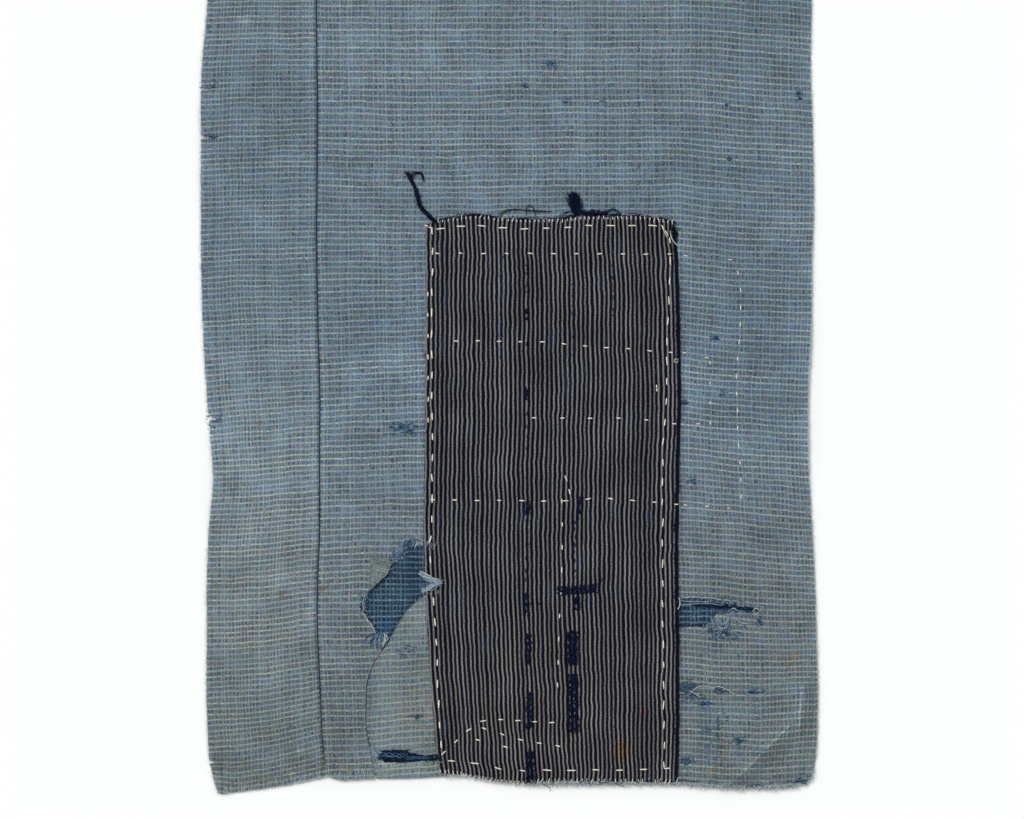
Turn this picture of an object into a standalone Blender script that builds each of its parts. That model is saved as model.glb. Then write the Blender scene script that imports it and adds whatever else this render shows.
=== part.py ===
"""A boro patched cloth, lying flat: two check cotton panels seamed side by side, a striped patch sewn on
top, a pale check repair set into a torn corner, and an indigo check backing that shows through the holes.

Every size below is in millimetres, in the cloth's own plan: across runs right from the left edge, and up
runs from the bottom hem. The finished solids are in metres, with the plan's centre at X = Y = 0.
"""

import math
from collections import namedtuple

import bmesh
import bpy

MM = 0.001  # metres in a millimetre

# Driving dimensions
CLOTH_WIDTH = 425.4  # widest span, edge to edge
CLOTH_LENGTH = 640.0  # bottom hem to top hem
SHEET = 1.0  # thickness of each cloth
GAP = 0.3  # air between neighbouring cloths
COLUMN = 14.0  # width of a facet
CURVE_STEPS = 3  # straight pieces between two points of a curved edge
CUTTER_REACH = 30.0  # how far an outline prism runs above and below the cloth
ROOM_DROP = 12.0  # the room cut for the repair starts this far below its left edge, past the hem

# Heights of facet rows, finer towards the bottom hem, where the creases lie
RowBand = namedtuple("RowBand", "start stop step")
ROW_BANDS = (
    RowBand(start=-8.0, stop=152.0, step=10.0),
    RowBand(start=152.0, stop=404.0, step=14.0),
    RowBand(start=404.0, stop=644.0, step=20.0),
)

# The two panels, section by section up the cloth: outer edges and the seam between the panels
Section = namedtuple("Section", "up left seam right")
SECTIONS = (
    Section(up=25.5, left=5.5, seam=85.2, right=424.0),
    Section(up=41.0, left=4.8, seam=83.8, right=425.0),
    Section(up=72.0, left=3.7, seam=82.5, right=425.4),
    Section(up=113.0, left=4.1, seam=80.7, right=424.4),
    Section(up=146.0, left=4.1, seam=80.7, right=423.3),
    Section(up=182.0, left=5.5, seam=82.1, right=421.6),
    Section(up=217.0, left=8.6, seam=82.1, right=419.5),
    Section(up=244.0, left=6.6, seam=82.1, right=418.6),
    Section(up=272.0, left=4.3, seam=82.3, right=418.5),
    Section(up=306.0, left=2.1, seam=81.4, right=420.2),
    Section(up=341.0, left=0.7, seam=80.6, right=421.2),
    Section(up=375.0, left=0.0, seam=80.0, right=421.6),
    Section(up=413.0, left=0.0, seam=80.2, right=422.8),
    Section(up=473.0, left=0.0, seam=80.5, right=421.6),
    Section(up=503.0, left=0.7, seam=80.2, right=420.6),
    Section(up=548.0, left=4.6, seam=79.8, right=421.4),
    Section(up=594.0, left=3.6, seam=79.6, right=421.0),
    Section(up=640.0, left=2.8, seam=79.4, right=420.2),
)

# Small tears in from the left edge
Nick = namedtuple("Nick", "up depth half_width")
NICKS = (
    Nick(up=22.0, depth=5.2, half_width=2.2),
    Nick(up=259.0, depth=8.0, half_width=4.5),
    Nick(up=453.0, depth=7.6, half_width=2.6),
    Nick(up=486.5, depth=9.0, half_width=2.2),
)

Point = namedtuple("Point", "across up")

# Bottom hems, from left to right. The side panel's corner is rounded off at the far left.
SIDE_HEM = (
    Point(across=6.9, up=18.0),
    Point(across=8.6, up=10.5),
    Point(across=11.0, up=3.5),
    Point(across=13.8, up=0.0),
    Point(across=30.4, up=2.1),
    Point(across=60.0, up=6.2),
    Point(across=81.4, up=11.0),
    Point(across=88.5, up=13.1),
)
MAIN_HEM = (
    Point(across=88.9, up=11.6),
    Point(across=98.0, up=9.7),
    Point(across=113.9, up=10.7),
    Point(across=142.8, up=11.0),
    Point(across=166.0, up=13.2),
    Point(across=184.0, up=10.6),
    Point(across=206.0, up=6.6),
    Point(across=236.0, up=8.2),
    Point(across=296.0, up=7.8),
    Point(across=329.0, up=7.0),
    Point(across=341.0, up=5.5),
    Point(across=378.0, up=4.1),
    Point(across=400.9, up=4.1),
    Point(across=412.6, up=6.2),
    Point(across=420.2, up=9.7),
    Point(across=422.3, up=16.6),
)

# The striped patch, clockwise from its lower left corner
PATCH_OUTLINE = (
    Point(across=164.9, up=14.8),
    Point(across=162.8, up=25.5),
    Point(across=160.8, up=51.0),
    Point(across=158.0, up=85.6),
    Point(across=155.3, up=138.0),
    Point(across=153.9, up=178.7),
    Point(across=154.6, up=258.0),
    Point(across=155.3, up=361.6),
    Point(across=155.0, up=392.8),
    Point(across=160.1, up=394.2),
    Point(across=173.9, up=396.8),
    Point(across=189.1, up=398.8),
    Point(across=214.6, up=396.1),
    Point(across=247.7, up=396.1),
    Point(across=262.2, up=398.1),
    Point(across=304.3, up=398.1),
    Point(across=325.7, up=394.7),
    Point(across=327.8, up=388.5),
    Point(across=329.1, up=367.1),
    Point(across=330.5, up=320.0),
    Point(across=331.2, up=271.9),
    Point(across=329.8, up=216.7),
    Point(across=329.1, up=161.5),
    Point(across=329.8, up=106.3),
    Point(across=329.8, up=51.1),
    Point(across=329.1, up=9.7),
    Point(across=325.7, up=8.3),
    Point(across=296.0, up=9.0),
    Point(across=236.0, up=9.7),
    Point(across=220.1, up=7.6),
    Point(across=202.2, up=9.0),
    Point(across=178.7, up=13.8),
)

# The main panel's torn edge left of the patch, from the top of the repair's left edge to under the patch
LEFT_TEAR = (
    Point(across=120.8, up=105.0),
    Point(across=120.8, up=111.1),
    Point(across=114.5, up=120.8),
    Point(across=112.5, up=125.6),
    Point(across=113.9, up=133.9),
    Point(across=115.9, up=141.5),
    Point(across=118.7, up=142.1),
    Point(across=128.3, up=151.8),
    Point(across=131.1, up=160.1),
    Point(across=140.8, up=167.0),
    Point(across=139.4, up=173.2),
    Point(across=145.6, up=176.6),
    Point(across=153.2, up=174.6),
    Point(across=161.0, up=171.0),
)

# The tear right of the patch, which narrows to a slit
RIGHT_TEAR = (
    Point(across=324.0, up=115.0),
    Point(across=342.9, up=115.2),
    Point(across=352.6, up=115.9),
    Point(across=355.4, up=124.2),
    Point(across=369.2, up=124.9),
    Point(across=381.0, up=125.2),
    Point(across=381.4, up=128.6),
    Point(across=358.8, up=132.5),
    Point(across=342.9, up=135.2),
    Point(across=324.0, up=135.0),
)

# The repair: it fills the corner that is torn out of the main panel, and runs under the striped patch
REPAIR_TOP = (
    Point(across=129.5, up=104.5),
    Point(across=133.9, up=113.9),
    Point(across=138.0, up=119.4),
    Point(across=141.5, up=125.6),
    Point(across=147.7, up=131.8),
    Point(across=153.2, up=135.9),
    Point(across=161.0, up=139.4),
    Point(across=170.0, up=139.4),
)
REPAIR_LEFT = (
    Point(across=120.2, up=14.0),
    Point(across=117.3, up=29.0),
    Point(across=114.9, up=41.4),
    Point(across=114.1, up=54.5),
    Point(across=114.3, up=69.7),
    Point(across=115.2, up=78.0),
    Point(across=117.3, up=85.6),
    Point(across=120.1, up=91.8),
    Point(across=125.0, up=98.8),
)
REPAIR_FOOT = (
    Point(across=120.8, up=10.9),
    Point(across=142.8, up=11.0),
    Point(across=170.0, up=12.6),
)

# A slit across the foot of the repair
LOW_SLIT = (
    Point(across=121.4, up=24.9),
    Point(across=127.0, up=22.0),
    Point(across=138.0, up=21.4),
    Point(across=153.2, up=22.8),
    Point(across=165.0, up=22.8),
    Point(across=165.0, up=26.9),
    Point(across=152.5, up=26.9),
    Point(across=142.1, up=29.7),
    Point(across=134.6, up=31.1),
    Point(across=127.7, up=30.4),
)

# The backing, plain and square cut behind the tears and the patch
BACKING = (
    Point(across=104.0, up=17.5),
    Point(across=250.0, up=16.5),
    Point(across=394.0, up=17.0),
    Point(across=395.5, up=200.0),
    Point(across=394.5, up=388.0),
    Point(across=250.0, up=389.0),
    Point(across=105.0, up=387.5),
    Point(across=103.5, up=200.0),
)
BACKING_LOW = Point(across=103.5, up=16.5)
BACKING_HIGH = Point(across=395.5, up=389.0)
RISE_START = 15.0  # the cloth above stays clear of the backing for this far past its edge
RISE_END = 44.0  # and is down on the surface this far past it

# Soft folds and ridges in the cloth. A fold is highest along its line and dies away at half_width.
Fold = namedtuple("Fold", "name start end half_width height")
FOLDS = (
    Fold("left low diagonal", Point(37, 66), Point(78, 124), 17, 1.5),
    Fold("left high diagonal", Point(12, 156), Point(54, 198), 18, 1.2),
    Fold("left edge, low", Point(6, 236), Point(8, 196), 20, 1.4),
    Fold("left edge, high", Point(0, 470), Point(0, 420), 20, 1.0),
    Fold("beside the seam", Point(95, 262), Point(96, 170), 17, 0.9),
    Fold("right low crease", Point(416, 78), Point(411, 44), 15, 1.7),
    Fold("right low diagonal", Point(404, 50), Point(366, 11), 16, 2.0),
    Fold("right edge", Point(420, 320), Point(419, 238), 20, 1.1),
    Fold("above the patch", Point(196, 420), Point(300, 424), 20, 0.8),
    Fold("patch, first band", Point(168, 340), Point(318, 336), 25, 0.8),
    Fold("patch, second band", Point(172, 283), Point(318, 282), 21, 0.7),
    Fold("patch, third band", Point(168, 231), Point(318, 229), 22, 0.8),
    Fold("patch, left field", Point(200, 182), Point(196, 66), 26, 0.9),
    Fold("patch, right field", Point(290, 184), Point(288, 52), 26, 0.9),
    Fold("patch foot", Point(206, 24), Point(300, 24), 18, 0.6),
    Fold("right of the tears", Point(372, 168), Point(392, 96), 22, 0.9),
)

# Colours as linear red, green and blue, with the roughness of washed cotton
CottonLook = namedtuple("CottonLook", "colour roughness")
WASHED_BLUE = CottonLook(colour=(0.158, 0.202, 0.238), roughness=0.9)
PALE_CHECK = CottonLook(colour=(0.178, 0.208, 0.214), roughness=0.9)
DARK_STRIPE = CottonLook(colour=(0.048, 0.050, 0.056), roughness=0.88)
DARK_INDIGO = CottonLook(colour=(0.040, 0.078, 0.132), roughness=0.9)


def in_plan(point):
    """The world X and Y, in metres, of a point of the cloth's plan."""
    return (
        (point.across - CLOTH_WIDTH / 2) * MM,
        (point.up - CLOTH_LENGTH / 2) * MM,
    )


def curve_through(points, closed=False):
    """A Catmull-Rom curve through the points, as straight pieces."""
    count = len(points)
    spans = count if closed else count - 1

    def at(i):
        return points[i % count] if closed else points[min(max(i, 0), count - 1)]

    found = []
    for i in range(spans):
        before, start, end, after = at(i - 1), at(i), at(i + 1), at(i + 2)
        for step in range(CURVE_STEPS):
            t = step / CURVE_STEPS
            weights = (
                -0.5 * t + t * t - 0.5 * t**3,
                1.0 - 2.5 * t * t + 1.5 * t**3,
                0.5 * t + 2.0 * t * t - 1.5 * t**3,
                -0.5 * t * t + 0.5 * t**3,
            )
            corners = (before, start, end, after)
            across = sum(w * p.across for w, p in zip(weights, corners))
            up = sum(w * p.up for w, p in zip(weights, corners))
            found.append(Point(across, up))
    if not closed:
        found.append(points[-1])
    return found


def left_edge():
    """The side panel's outer edge from the bottom up, with its nicks cut in."""
    edge = curve_through([Point(s.left, s.up) for s in SECTIONS])
    for nick in NICKS:
        beside = min(edge, key=lambda p: abs(p.up - nick.up))
        edge = [p for p in edge if abs(p.up - nick.up) > nick.half_width]
        edge += [
            Point(beside.across + 0.2, nick.up - nick.half_width),
            Point(beside.across + nick.depth, nick.up - nick.half_width / 4),
            Point(beside.across + nick.depth, nick.up + nick.half_width / 4),
            Point(beside.across + 0.2, nick.up + nick.half_width),
        ]
    return sorted(edge, key=lambda p: p.up)


def seam_edge(side):
    """The seam from the bottom up, moved half the gap to one side of it."""
    return curve_through([Point(s.seam + side * GAP / 2, s.up) for s in SECTIONS])


def side_panel_outline():
    """The narrow panel, anticlockwise: hem, seam, top, outer edge."""
    return curve_through(SIDE_HEM) + seam_edge(-1) + left_edge()[::-1]


def main_panel_outline():
    """The wide panel, anticlockwise: hem, outer edge, top, seam."""
    outer = curve_through([Point(s.right, s.up) for s in SECTIONS])
    return curve_through(MAIN_HEM) + outer + seam_edge(1)[::-1]


def repair_outline():
    """The pale repair, anticlockwise: foot, the side under the striped patch, top, left edge."""
    return [*REPAIR_FOOT] + curve_through(REPAIR_TOP)[::-1] + curve_through(REPAIR_LEFT)[::-1]


def torn_corner_outline():
    """What the main panel has lost left of the patch, clockwise: the hole, and the room for the repair."""
    left = [Point(p.across - GAP, p.up) for p in curve_through(REPAIR_LEFT)]
    far = REPAIR_TOP[-1].across + GAP
    low_left = Point(left[0].across, left[0].up - ROOM_DROP)
    low_right = Point(far, low_left.up)
    high_right = Point(far, LEFT_TEAR[-1].up)
    return [low_left] + left + [*LEFT_TEAR] + [high_right, low_right]


def ease(t):
    """0 to 1 as t goes from 0 to 1, level at both ends."""
    t = min(max(t, 0.0), 1.0)
    return t * t * (3.0 - 2.0 * t)


def fold_height(fold, across, up):
    """How far one fold lifts the cloth at a place."""
    run = (fold.end.across - fold.start.across, fold.end.up - fold.start.up)
    offset = (across - fold.start.across, up - fold.start.up)
    share = (offset[0] * run[0] + offset[1] * run[1]) / (run[0] ** 2 + run[1] ** 2)
    share = min(max(share, 0.0), 1.0)
    away = math.hypot(offset[0] - share * run[0], offset[1] - share * run[1])
    return fold.height * ease(1.0 - away / fold.half_width)


def lying_height(across, up):
    """How high the undersides of the two panels lie: folds, and the rise over the backing."""
    past_side = max(BACKING_LOW.across - across, across - BACKING_HIGH.across, 0.0)
    past_end = max(BACKING_LOW.up - up, up - BACKING_HIGH.up, 0.0)
    past = math.hypot(past_side, past_end)
    rise = (SHEET + GAP) * ease((RISE_END - past) / (RISE_END - RISE_START))
    return rise + sum(fold_height(fold, across, up) for fold in FOLDS)


def row_heights():
    """The facet rows' places up the cloth."""
    found = []
    for band in ROW_BANDS:
        count = round((band.stop - band.start) / band.step)
        found += [band.start + i * band.step for i in range(count)]
    return found + [ROW_BANDS[-1].stop]


def cotton(name, look):
    """A plain material for one cloth."""
    material = bpy.data.materials.new(name)
    material.use_nodes = True
    shader = material.node_tree.nodes["Principled BSDF"]
    shader.inputs["Base Color"].default_value = (*look.colour, 1.0)
    shader.inputs["Roughness"].default_value = look.roughness
    shader.inputs["Metallic"].default_value = 0.0
    return material


def add_object(name, shape):
    """The object of a bmesh, in the scene."""
    mesh = bpy.data.meshes.new(name)
    shape.to_mesh(mesh)
    shape.free()
    made = bpy.data.objects.new(name, mesh)
    bpy.context.scene.collection.objects.link(made)
    return made


def thickened(shape, rise):
    """Closes an open sheet into a solid, rise metres thick, with its faces pointing out."""
    raised = bmesh.ops.extrude_face_region(shape, geom=shape.faces[:])["geom"]
    top = [part for part in raised if isinstance(part, bmesh.types.BMVert)]
    bmesh.ops.translate(shape, verts=top, vec=(0.0, 0.0, rise))
    bmesh.ops.recalc_face_normals(shape, faces=shape.faces[:])


def draped_slab(name, level):
    """A sheet larger than the cloth, lying in its folds, level millimetres above where the panels lie."""
    shape = bmesh.new()
    columns = math.ceil(CLOTH_WIDTH / COLUMN) + 2
    rows = []
    for up in row_heights():
        row = []
        for column in range(columns + 1):
            across = (column - 1) * COLUMN
            height = lying_height(across, up) + level
            row.append(shape.verts.new((*in_plan(Point(across, up)), height * MM)))
        rows.append(row)
    for low, high in zip(rows, rows[1:]):
        for i in range(columns):
            shape.faces.new((low[i], low[i + 1], high[i + 1]))
            shape.faces.new((low[i], high[i + 1], high[i]))
    thickened(shape, SHEET * MM)
    return add_object(name, shape)


def prism(name, outline):
    """An upright block of an outline, from below the cloth to above it."""
    shape = bmesh.new()
    ring = [shape.verts.new((*in_plan(p), -CUTTER_REACH * MM)) for p in outline]
    shape.faces.new(ring)
    thickened(shape, 2 * CUTTER_REACH * MM)
    made = add_object(name, shape)
    made.hide_render = True
    made.display_type = "WIRE"
    return made


def shaped(sheet, operation, tool):
    """Keeps or cuts away what a prism covers."""
    step = sheet.modifiers.new(tool.name, "BOOLEAN")
    step.operation = operation
    step.solver = "EXACT"
    step.object = tool


def cut_sheet(name, look, level, outline, holes=()):
    """One cloth: a draped slab cut to its outline, with its holes."""
    sheet = draped_slab(name, level)
    sheet.data.materials.append(cotton(f"{name} cotton", look))
    shaped(sheet, "INTERSECT", prism(f"{name} outline", outline))
    for hole_name, hole in holes:
        shaped(sheet, "DIFFERENCE", prism(f"{name} {hole_name}", hole))
    return sheet


def flat_sheet(name, look, outline):
    """A cloth that lies flat on the surface."""
    shape = bmesh.new()
    shape.faces.new([shape.verts.new((*in_plan(p), 0.0)) for p in outline])
    thickened(shape, SHEET * MM)
    sheet = add_object(name, shape)
    sheet.data.materials.append(cotton(f"{name} cotton", look))
    return sheet


def main():
    for old in list(bpy.data.objects):
        bpy.data.objects.remove(old, do_unlink=True)
    tears = (
        ("torn corner", torn_corner_outline()),
        ("right tear", RIGHT_TEAR),
    )
    cut_sheet("side_panel", WASHED_BLUE, 0.0, side_panel_outline())
    cut_sheet("main_panel", WASHED_BLUE, 0.0, main_panel_outline(), tears)
    slit = (("low slit", LOW_SLIT),)
    cut_sheet("pale_check_patch", PALE_CHECK, 0.0, repair_outline(), slit)
    cut_sheet("striped_patch", DARK_STRIPE, SHEET + GAP, PATCH_OUTLINE)
    flat_sheet("indigo_backing", DARK_INDIGO, BACKING)


main()
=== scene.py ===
"""A boro patched cloth, laid flat and seen from above: two washed check cotton panels seamed side by side, a
dark striped patch held on with cream running stitches, a pale check repair set into a torn corner, and an
indigo check backing that shows through the tears.

Places on the cloth are in millimetres of its own plan: across runs right from the left edge, and up runs
from the bottom hem. Heights are in millimetres above the surface that the cloth lies on.
"""

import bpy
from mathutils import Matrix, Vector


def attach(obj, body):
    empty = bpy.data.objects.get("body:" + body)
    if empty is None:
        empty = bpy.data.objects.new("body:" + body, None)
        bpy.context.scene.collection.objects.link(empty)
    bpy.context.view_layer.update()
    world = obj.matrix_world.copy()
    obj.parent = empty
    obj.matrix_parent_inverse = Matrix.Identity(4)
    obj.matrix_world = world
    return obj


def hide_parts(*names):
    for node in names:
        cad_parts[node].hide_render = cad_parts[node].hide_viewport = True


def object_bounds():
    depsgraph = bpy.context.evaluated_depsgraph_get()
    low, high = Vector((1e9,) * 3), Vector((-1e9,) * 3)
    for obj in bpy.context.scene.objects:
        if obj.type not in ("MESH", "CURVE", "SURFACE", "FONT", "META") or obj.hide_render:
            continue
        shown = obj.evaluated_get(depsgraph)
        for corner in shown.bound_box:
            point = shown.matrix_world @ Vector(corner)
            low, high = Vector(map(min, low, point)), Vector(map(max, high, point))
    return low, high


bl_info = {
    "name": "Boro patched cloth", "version": (1, 0, 0), "blender": (4, 5, 0),
    "location": "View3D > Sidebar > Boro cloth",
    "description": "Makes a mended check cotton cloth with its patch, stitches, darns and torn threads",
    "category": "Add Mesh"
}

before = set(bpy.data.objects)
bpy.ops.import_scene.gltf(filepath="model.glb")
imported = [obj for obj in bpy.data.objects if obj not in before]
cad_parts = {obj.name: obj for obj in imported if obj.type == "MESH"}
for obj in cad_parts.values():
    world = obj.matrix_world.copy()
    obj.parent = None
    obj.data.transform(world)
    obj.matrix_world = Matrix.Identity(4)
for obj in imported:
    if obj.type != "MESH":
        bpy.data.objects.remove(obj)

import math
from collections import namedtuple

import bmesh
import bpy
import numpy as np
from mathutils import Vector
from mathutils.geometry import delaunay_2d_cdt
from mathutils.kdtree import KDTree

CAD_LOW, CAD_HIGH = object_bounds()
MM = 0.001  # metres in a millimetre

# ---------------------------------------------------------------- the cloth's plan, in millimetres

CAD_SHEET = 1.0  # what the solid model gives each cloth, and so the step from one layer to the next
GAP = 0.3
THICK = 0.85  # how thick each cloth is drawn
CURVE_STEPS = 3

Section = namedtuple("Section", "up left seam right")
SECTIONS = tuple(
    Section(*row)
    for row in (
        (25.5, 5.5, 85.2, 424.0), (41.0, 4.8, 83.8, 425.0), (72.0, 3.7, 82.5, 425.4),
        (113.0, 4.1, 80.7, 424.4), (146.0, 4.1, 80.7, 423.3), (182.0, 5.5, 82.1, 421.6),
        (217.0, 8.6, 82.1, 419.5), (244.0, 6.6, 82.1, 418.6), (272.0, 4.3, 82.3, 418.5),
        (306.0, 2.1, 81.4, 420.2), (341.0, 0.7, 80.6, 421.2), (375.0, 0.0, 80.0, 421.6),
        (413.0, 0.0, 80.2, 422.8), (473.0, 0.0, 80.5, 421.6), (503.0, 0.7, 80.2, 420.6),
        (548.0, 4.6, 79.8, 421.4), (594.0, 3.6, 79.6, 421.0), (640.0, 2.8, 79.4, 420.2)
    )
)

Nick = namedtuple("Nick", "up depth half_width")
NICKS = tuple(
    Nick(*row) for row in ((22.0, 4.6, 1.2), (259.0, 5.5, 2.2), (453.0, 6.0, 1.1), (486.5, 8.0, 0.9))
)

# Edges, as (across, up)
SIDE_HEM = (
    (6.9, 18.0), (8.6, 10.5), (11.0, 3.5), (13.8, 0.0), (30.4, 2.1), (60.0, 6.2), (81.4, 11.0), (88.5, 13.1)
)
MAIN_HEM_LEFT = ((88.9, 11.6), (98.0, 9.7), (113.9, 10.7), (119.6, 10.8))
MAIN_HEM_RIGHT = (
    (170.3, 12.6), (180.0, 12.8), (192.0, 11.3), (204.0, 9.3), (214.0, 8.0), (224.0, 6.7), (236.0, 6.8),
    (296.0, 6.8), (329.0, 6.8), (341.0, 5.5), (378.0, 4.1), (400.9, 4.1), (412.6, 6.2), (420.2, 9.7),
    (422.3, 16.6)
)
PATCH_OUTLINE = (
    (164.9, 14.8), (162.8, 25.5), (160.8, 51.0), (158.0, 85.6), (155.3, 138.0), (153.9, 178.7),
    (154.6, 258.0), (155.3, 361.6), (155.0, 392.8), (160.1, 394.2), (173.9, 396.8), (189.1, 398.8),
    (214.6, 396.1), (247.7, 396.1), (262.2, 398.1), (304.3, 398.1), (325.7, 394.7), (327.8, 388.5),
    (329.1, 367.1), (330.5, 320.0), (331.2, 271.9), (329.8, 216.7), (329.1, 161.5), (329.8, 106.3),
    (329.8, 51.1), (329.1, 9.7), (325.7, 8.3), (296.0, 9.0), (236.0, 9.7), (220.1, 7.6), (202.2, 9.0),
    (178.7, 13.8)
)
LEFT_TEAR = (
    (124.7, 98.8), (121.6, 104.6), (120.8, 111.1), (114.5, 120.8), (112.5, 125.6), (113.9, 133.9),
    (115.9, 141.5), (118.7, 142.1), (128.3, 151.8), (131.1, 160.1), (140.8, 167.0), (139.4, 173.2),
    (145.6, 176.6), (153.2, 174.6), (161.0, 171.0), (170.3, 171.0)
)
RIGHT_TEAR = (
    (324.0, 115.0), (342.9, 115.2), (352.6, 115.9), (355.4, 124.2), (369.2, 124.9), (381.0, 125.2),
    (381.4, 128.6), (358.8, 132.5), (342.9, 135.2), (324.0, 135.0)
)
REPAIR_TOP = (
    (129.5, 104.5), (133.9, 113.9), (138.0, 119.4), (141.5, 125.6), (147.7, 131.8), (153.2, 135.9),
    (161.0, 139.4), (170.0, 139.4)
)
REPAIR_LEFT = (
    (120.2, 14.0), (117.3, 29.0), (114.9, 41.4), (114.1, 54.5), (114.3, 69.7), (115.2, 78.0), (117.3, 85.6),
    (120.1, 91.8), (125.0, 98.8)
)
REPAIR_FOOT = ((120.8, 10.9), (142.8, 11.0), (170.0, 12.6))
LOW_SLIT = (
    (121.4, 24.9), (127.0, 22.0), (138.0, 21.4), (153.2, 22.8), (165.0, 22.8), (165.0, 26.9), (152.5, 26.9),
    (142.1, 29.7), (134.6, 31.1), (127.7, 30.4)
)
BACKING = (
    (104.0, 17.5), (250.0, 16.5), (394.0, 17.0), (395.5, 200.0), (394.5, 388.0), (250.0, 389.0),
    (105.0, 387.5), (103.5, 200.0)
)
BACKING_LOW = (103.5, 16.5)
BACKING_HIGH = (395.5, 389.0)
RISE_START = 15.0  # the cloth above stays clear of the backing for this far past its edge
RISE_END = 44.0  # and is down on the surface this far past it

# Soft folds and ridges, each highest along its line
Fold = namedtuple("Fold", "start end half_width height")
FOLDS = tuple(
    Fold(*row)
    for row in (
        ((37, 66), (78, 124), 17, 1.5), ((12, 156), (54, 198), 18, 1.2), ((6, 236), (8, 196), 20, 1.4),
        ((0, 470), (0, 420), 20, 1.0), ((95, 262), (96, 170), 17, 0.9), ((416, 78), (411, 44), 15, 1.7),
        ((404, 50), (366, 11), 16, 2.0), ((420, 320), (419, 238), 20, 1.1),
        ((196, 420), (300, 424), 20, 0.8), ((168, 340), (318, 336), 25, 0.8),
        ((172, 283), (318, 282), 21, 0.7), ((168, 231), (318, 229), 22, 0.8),
        ((200, 182), (196, 66), 26, 0.9), ((290, 184), (288, 52), 26, 0.9), ((206, 24), (300, 24), 18, 0.6),
        ((372, 168), (392, 96), 22, 0.9)
    )
)

# Rows of running stitches on the striped patch: the line, the distance from one stitch to the next, and
# how much thread shows in each
Row = namedtuple("Row", "line pitch stitch")
PATCH_ROWS = (
    Row(
        (
            (164.5, 390.0), (173, 391.4), (188, 392.4), (204, 390.6), (220, 389.6), (244, 390.0),
            (262, 392.0), (312, 392.2)
        ),
        14.3, 6.6
    ),
    Row(((155.6, 391.8), (158.8, 390.8)), 3.2, 3.0), Row(((318.6, 390.8), (321.2, 386.6)), 4.9, 4.4),
    Row(((163, 373), (323, 372.4)), 15.6, 3.4),
    Row(((176, 312.6), (237.4, 311.9), (261.5, 309.1), (291.2, 307.4), (324.3, 304.6)), 14.4, 3.6),
    Row(((229.8, 259.4), (298.8, 259.4), (313.3, 257.4), (326.4, 255.3)), 16.2, 3.6),
    Row(((160, 203), (250, 202.3), (275, 204.5), (300, 202.5), (328, 199.9)), 14.6, 3.6),
    Row(((251.5, 218.2), (254.4, 208.5)), 7.5, 4.6),
    Row(((249.1, 202.2), (249.1, 159.4), (247.7, 127), (246.1, 86.3), (246.1, 75.2)), 14.3, 3.8),
    Row(
        (
            (323.3, 382), (323.3, 361.6), (321.5, 316.7), (320.9, 268.4), (319.5, 252.5), (318.4, 237.4),
            (318.4, 133.9), (319.5, 20)
        ),
        13.8, 6.2
    ),
    Row(
        ((172.5, 23.5), (191.8, 21.4), (206.3, 17.9), (222.9, 16.6), (309.8, 17.3), (322, 17.8)), 15.2, 6.2
    ),
    Row(
        ((167.4, 28.4), (176, 36.6), (183.5, 43.5), (191.8, 49.7), (199.4, 51.8), (242.2, 49.7)), 10.5, 4.4
    ),
    Row(((195.3, 45.5), (207, 42.1), (218.7, 38), (246.5, 33.6)), 12, 4.2),
    Row(((191.2, 37.7), (210.4, 32.7)), 10.3, 4.0), Row(((314.3, 281.4), (314.3, 278.6)), 2.8, 2.6),
    Row(((156.6, 345), (156.8, 300), (156.8, 258)), 13.5, 3.2)
)
LEFT_COLUMN = Row(
    (
        (159.6, 388.6), (159.4, 182), (157.3, 171.8), (160.8, 133.9), (162.8, 95.9), (163.9, 64.9),
        (165.6, 33.8)
    ),
    13.8, 6.2
)
# Rows that run on past the patch, over the panel and its backing
PANEL_ROWS = (
    Row(((334, 371.4), (365, 368.7)), 15.6, 3.2),
    Row(((333.4, 304.2), (337.4, 304), (349.1, 301.1)), 11, 2.8),
    Row(((351.2, 297.5), (351.2, 256)), 10.7, 2.6), Row(((332, 255.3), (343, 255.3)), 9.5, 2.8),
    Row(((334, 199.6), (364, 197.3)), 14.6, 3.2),
    Row(
        (
            (370.5, 359.5), (372.6, 343.6), (371.9, 318), (369.2, 292.6), (370.5, 244.3), (371.9, 229.8),
            (372.6, 204.9)
        ),
        11.9, 3.8
    )
)

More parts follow.
